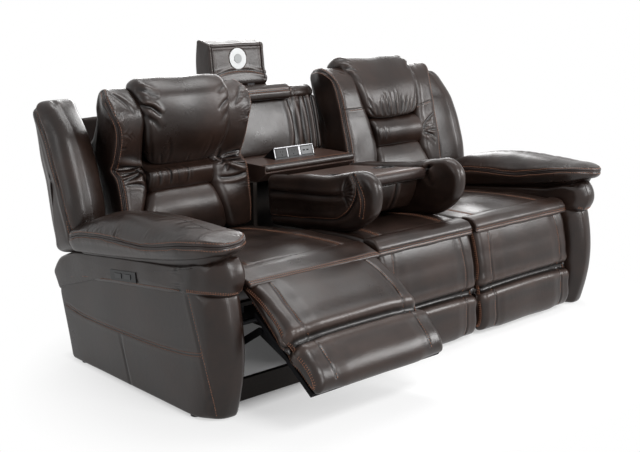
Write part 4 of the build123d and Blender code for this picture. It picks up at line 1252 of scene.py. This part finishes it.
def headrest(side, seed, tilt):
    tag, s = sideName(side), backSizes
    half, low = s["pillowHalf"], s["split"]
    skin = loft("head_pillow_" + tag, pillowRing, laneMid - half, laneMid + half, 44, nu=136, nv=256, spread=13,
                dome=5, rollAt=frontOnly)
    # narrower towards its lower edge
    narrow = np.interp(heightUp(skin.points), [480, 630, 752], [0.765, 0.90, 1.0])
    skin.points[..., 0] = laneMid + (skin.points[..., 0] - laneMid) * narrow
    skin.renew()
    for d in (-1, 1):
        e, x = laneMid + d * (half - 10), laneMid + d * (140 if tilt else 176)
        deep = 1.0 if tilt and d > 0 else 0.45
        skin.fold(onBack(e, 728, 170), onBack(x, 706, 232), 8, 9.0 * deep, 8 * d)
        skin.fold(onBack(e - d * 10, 768, 120), onBack(x, 770, 186), 11, 6.5 * deep, -6 * d)
        skin.fold(onBack(e - d * 8, 700, 190), onBack(x + d * 6, 650, 246), 11, 4 * deep, 5 * d)
    r = rng(seed)
    for k in range(6 if tilt else 22):
        x = laneMid + r.uniform(-150, 150)
        lean = (laneMid - x) * 0.25
        deep = r.uniform(1.6, 4.4) * (0.5 if tilt else 1.0)
        skin.fold(onBack(x, low + 2, 262), onBack(x - lean, low + r.uniform(50, 140), 262), r.uniform(4.5, 8), deep,
                  r.uniform(-7, 7))
    skin.lumps(2.8, 0, 2, 220, seed)
    addSkin(skin, side, turning(backPoint(*s["hinge"]), -tilt), nodes=[skin.name], body="headrest_" + tag)


for side, seed, tilt in ((-1, 70, 38.0), (1, 90, 0.0)):
    tag = sideName(side)
    zone = backSizes["posedBend"] if tilt else backSizes["bend"]
    ends = [tuple(place(side, np.array(onBack(laneMid, u, 150)))) for u in zone]
    bridges["bridge_" + tag] = ("back_" + tag, "headrest_" + tag, *ends)
    backShell(side)
    lumbarPanel(side, seed)
    backRoll(side, seed, tilt)
    headrest(side, seed + 5, tilt)
    for outer in (-1, 1):
        bolster(side, seed + 9, tilt, outer)
print("seat backs made")

# middle: back panel of the well, cap and shelf lip
wellSizes = {
    "half": 284, "low": 712, "high": 957, "depths": (78, 33, 33, 72),
    "grooves": ((118, 8, 6), (143, -10, 7), (166, 6, 5), (190, -6, 8), (216, 5, 7), (262, 0, 12)),
}
capSizes = {
    "ends": (-284, 122, 124, 284), "seam": [(-280, 1012, 1000), (-80, 1006, 1003), (118, 1012, 1000)],
    "main": [(1014, 958), (1178, 958), (1196, 1006), (1186, 1026), (1036, 1026), (1006, 982)],
    "pleated": [(1036, 958), (1120, 958), (1124, 1000), (1050, 1000)],
}
lipEdge = {"half": 266, "ring": [(742, 683), (772, 683), (772, 714), (742, 716)], "stitch": (262, 768, 715)}


def leanAt(z, v):  # the point at height z on the plane v forward from the back's rear face
    return backPoint((z - backFoot[1] - v * sin(backLean)) / cos(backLean), v)


def wellPanel():
    s = wellSizes
    half, low, high = s["half"], s["low"], s["high"]
    ring = [leanAt(z, v) for z, v in zip((low, low, high, high), s["depths"])]
    skin = loft("well_panel", (ring, [0, 0, 0, 10]), -half, half, 16, nu=130, nv=100, spread=7, dome=2)
    for x, sway, deep in s["grooves"]:
        line = skin.seam([(x, *leanAt(low + 3, 84)), (x + sway, *leanAt(830, 88)), (x, *leanAt(high - 2, 78))], 40)
        skin.groove(line, 8, deep, 0.6)
        skin.gathers(line, 14, 26, 1.2, x)
    skin.lumps(1.4, 0, 2, 150, 11)
    addSkin(skin, nodes=["well_panel"])


def topCap():
    s = capSizes
    start, split, after, stop = s["ends"]
    skin = loft("top_cap_main", (s["main"], [0, 4, 3, 0, 8, 6]), start, split, 18, nu=90, nv=136, spread=7, dome=3)
    line = skin.seam(s["seam"], 60)
    skin.groove(line, 5, 3, 0.5)
    skin.lumps(1.0, 0, 1, 140, 12)
    addSkin(skin, nodes=["top_cap"])
    stitches(skin, line, "base", (6, -6))
    skin = loft("top_cap_end", (s["pleated"], [0, 0, 8, 6]), after, stop, 20, nu=66, nv=96, spread=8, dome=3)
    skin.gathers(skin.seam([(130, 1050, 1000), (280, 1050, 1000)], 30), 40, 17, 3.4, 5)
    addSkin(skin, nodes=["top_cap"])


def shelfLip():
    # the padded lip along the front of the shelf
    half, (x, y, z) = lipEdge["half"], lipEdge["stitch"]
    skin = loft("shelf_lip", (lipEdge["ring"], [3, 0, 0, 6]), -half, half, 8, nu=64, nv=84, spread=7, dome=2)
    line = skin.seam([(-x, y, z), (0, y, z), (x, y, z)], 60)
    addSkin(skin)
    stitches(skin, line, "base")


# power strip: x from and to, t down the sloping face of the raised block, how far out of it, finish
stripSizes = {
    "pivot": (930, 700), "open": 36.0, "face": (842, 712), "slope": (0.327, 0.945),
    "pieces": {"trim_top": (-115, 115, -1.0, 4.0, 2.0, "silver"), "trim_left": (-117, -111, 4, 48, 1.4, "silver"),
               "trim_between": (-43, -37, 4, 48, 1.4, "silver"), "trim_bar": (26, 38, 4, 48, 1.4, "silver"),
               "trim_right": (111, 117, 4, 48, 1.4, "silver"), "socket_one": (-108, -46, 6, 46, 1.2, "outlet"),
               "socket_two": (-34, 23, 6, 46, 1.2, "outlet"), "port_plate": (41, 108, 6, 46, 0.8, "rocker")},
    "sockets": (-73.5, -5.5), "holes": ((-7, 20, 2.6, 9), (7, 20, 2.6, 9), (0, 35, 5, 5)),
    "ports": [(52, 65, 22, 28), (74, 87, 22, 28)],
}


def stripPiece(name, x0, x1, t0, t1, out, sunk, material, **sizes):
    s = stripSizes
    (y, z), (down, across) = s["face"], s["slope"]
    ring = [(y + down * t - across * o, z - across * t - down * o)
            for t, o in ((t1, out), (t1, sunk), (t0, sunk), (t0, out))]
    skin = loft("strip_" + name, (ring, None), x0, x1, **sizes)
    addSkin(skin, move=turning(s["pivot"], s["open"]), material=material, body="power_strip")


def powerStrip():
    s = stripSizes
    for name, (x0, x1, t0, t1, out, key) in s["pieces"].items():
        stripPiece(name, x0, x1, t0, t1, out, -1.5, key, roll=1.2, nu=20, nv=40, spread=0.7, dome=0.2, capLow=3,
                   capHigh=3)
    # the socket holes and ports are dark patches laid just proud of the face: painted shade where the openings are
    slots = [(middle + x - w / 2, middle + x + w / 2, t - h / 2, t + h / 2)
             for middle in s["sockets"] for x, t, w, h in s["holes"]]
    for k, slot in enumerate(slots + s["ports"]):
        stripPiece(f"slot_{k}", *slot, 1.6, 0, "felt", roll=0.5, nu=16, nv=24, spread=0.4, dome=0.1, capLow=2,
                   capHigh=2)


# console: points are lengths forward from its pivot and up from its table's plane
consoleSizes = {
    "in": 205, "out": 284, "half": 203,
    "bolster": [(340, -84), (-150, -84), (-156, 60), (-150, 132), (240, 140), (430, 164), (506, 108), (486, -4)],
    # nested seams on the outer face, the outermost turning up over the nose
    "pipe": [(424, -14), (446, 30), (442, 66), (428, 106), (396, 144)],
    "seam": [(-150, -40), (35, -38), (256, -38), (334, -18), (386, 28), (412, 81), (404, 123), (386, 150)],
    "inner": [(-150, 66), (60, 65), (181, 60), (278, 60), (336, 70)], "swirl": (334, 70),
    "under": [(236, -44), (-118, -48), (-118, 76), (300, 76)],
    "bar": [(334, 84), (300, 84), (300, 122), (334, 122)],
}
tableSizes = {"half": 203, "rear": -124, "front": 335, "low": 95.0, "high": 125.0, "edgeDrop": 8, "edge": 9,
              "crown": 2.0, "cup": (150.0, 140.0, 45.5)}


def consoleRing(name):
    return [tablePoint(s, h) for s, h in consoleSizes[name]]


def consoleBolster(side):
    s = consoleSizes
    skin = loft("console_bolster_" + sideName(side), (consoleRing("bolster"), [4, 0, 0, 3, 3, 12, 12, 12]),
                s["in"], s["out"], 30, nu=52, nv=310, spread=13, dome=8, capLow=20, capHigh=50)
    piped, outer, inner = [skin.seam([onTable(s["out"], *at) for at in s[key]], 110)
                           for key in ("pipe", "seam", "inner")]
    skin.groove(piped, 5, 4.0, 0.2)
    skin.groove(outer, 7, 6.0, 0.35)
    skin.groove(inner, 8, 6.5, 0.5, 40)
    skin.gathers(outer, 24, 19, 1.8, 15, None, 420, 760)
    along, up = s["swirl"]
    for k in range(8):  # creases that spread from the end of the inner seam
        turn = -1.0 + 0.33 * k
        skin.fold(onTable(s["out"], along + 8 * cos(turn), up + 8 * sin(turn)),
                  onTable(s["out"], along + 60 * cos(turn), up + 60 * sin(turn)), 4.5, 2.8, 3)
    for k in range(7):  # a fan of creases on the face that looks on the table
        skin.fold(onTable(207, 330 + 8 * k, 136), onTable(206, 378 - 24 * k, 40 + 6 * k), 7, 4.2, 6)
    skin.lumps(1.3, 1, 2, 130, 17 + side)
    addSkin(skin, side, nodes=["console_bolsters"], body="console")
    pipedSeam(skin, piped, "console", 3.0, 4, 11, side)
    stitches(skin, outer, "console", (5,), side=side)


def consoleUnderside():
    half = consoleSizes["half"]
    skin = loft("console_underside", (consoleRing("under"), [10, 4, 0, 10]), -half, half, 20, nu=84, nv=112,
                spread=8, dome=3)
    for x in (-70, 70):
        line = skin.seam([onTable(x, 296, 60), onTable(x, 240, -40), onTable(x, -110, -60)], 60)
        skin.groove(line, 7, 4, 0.5)
    addSkin(skin, nodes=["console_cushion"], body="console")


def tableTop():
    # a slab with two round wells; height = high, less a round along its edges, plus a crown and mounds
    s, nx, ny = tableSizes, 121, 140
    cupX, cupAt, cupRadius = s["cup"]
    x, q = np.meshgrid(np.linspace(-s["half"], s["half"], nx), np.linspace(s["rear"], s["front"], ny), indexing="ij")
    lift = s["crown"] * (1 - (x / s["half"]) ** 4) + 1.2 * mounds(x, q, 170, 9)
    edge = np.minimum(s["half"] - np.abs(x), np.minimum(q - s["rear"], s["front"] - q))
    h = s["high"] - s["edgeDrop"] * np.clip(1 - edge / s["edge"], 0, 1) ** 2 + lift * band(edge, 0, 30)
    layers = [np.stack([x, *tablePoint(q, height)], -1).reshape(-1, 3) for height in (h, np.full_like(q, s["low"]))]
    hole = (np.abs(x) - cupX) ** 2 + (q - cupAt) ** 2 < cupRadius ** 2
    keep = ~(hole[:-1, :-1] & hole[1:, :-1] & hole[:-1, 1:] & hole[1:, 1:])
    i, j = [index[keep] for index in np.meshgrid(np.arange(nx - 1), np.arange(ny - 1), indexing="ij")]
    down = np.stack([i * ny + j, i * ny + j + 1, (i + 1) * ny + j + 1, (i + 1) * ny + j], -1)
    grid = np.arange(nx * ny).reshape(nx, ny)
    a = np.concatenate([grid[:, 0], grid[-1, 1:], grid[-2::-1, -1], grid[0, -2:0:-1]])
    b = np.roll(a, -1)
    rim = np.stack([a, a + nx * ny, b + nx * ny, b], -1)
    thing = addMesh("console_table_top", place(1, np.vstack(layers)), [down[:, ::-1], down + nx * ny, rim],
                    finish["table"])
    settle(thing, ["console_table"], "console")


def tableBar():
    half = consoleSizes["half"]
    skin = loft("table_front_bar", (consoleRing("bar"), [5, 0, 0, 7]), -half, half, 6, nu=50, nv=72, spread=6, dome=1)
    addSkin(skin, material="piping", body="console")


# lamp: y and z of the foot of its front face, then lengths from them
lampSizes = {"y": 1095.0, "z": 1036.0, "ends": (-282, 38), "lensX": -122, "lensZ": 1146.0, "lensWell": 7.0,
             "lensRadius": (45, 49), "frontSlope": 13.0 / 116.0, "pipes": (-262, 18)}


def lampHead():
    s = lampSizes
    y, z = s["y"], s["z"]
    ring = [(y + 4, 1021), (y + 112, 1024), (y + 108, 1232), (y + 16, 1210), (y + 3, z + 58), (y - 13, z + 18)]
    skin = loft("lamp_case", (ring, [0, 10, 2, 0, 3, 9]), *s["ends"], 12, nu=104, nv=190, spread=6, dome=2)
    # a shallow well round the lens
    lens = np.array([s["lensX"], y + 3 + (s["lensZ"] - z - 58) * s["frontSlope"], s["lensZ"]])
    gap = np.linalg.norm(skin.points - lens, axis=-1)
    inside, outside = s["lensRadius"]
    skin.push(-s["lensWell"] * band(-gap, -outside, -inside) * (skin.points[..., 1] < y + 40))
    upright = [[(x, y + 20, 1214), (x, y + 6, 1094), (x, y - 4, 1050)] for x in s["pipes"]]
    brow = [(-266, y + 14, 1203), (-122, y + 14, 1205), (22, y + 14, 1203)]
    for points, count in ((upright[0], 30), (upright[1], 30), (brow, 50)):
        line = skin.seam(points, count)
        skin.groove(line, 4, 2.6, 0.5)
        pipe(skin, line, "lamp", 2.6)
    chin = skin.seam([(-276, y - 2, 1066), (-200, y + 2, 1088), (-122, y + 3, 1095), (-44, y + 2, 1088),
                      (32, y - 2, 1066)], 60)
    skin.groove(chin, 5, 3.4, 0.5)
    skin.lumps(0.7, 0, 2, 110, 4)
    addSkin(skin, nodes=["lamp_head"], body="lamp")
    stitches(skin, chin, "lamp", (6,))


wellPanel()
topCap()
shelfLip()
powerStrip()
for side in (-1, 1):
    consoleBolster(side)
consoleUnderside()
tableTop()
tableBar()
lampHead()
print("middle made")

joinSewing()
print("sewing joined")
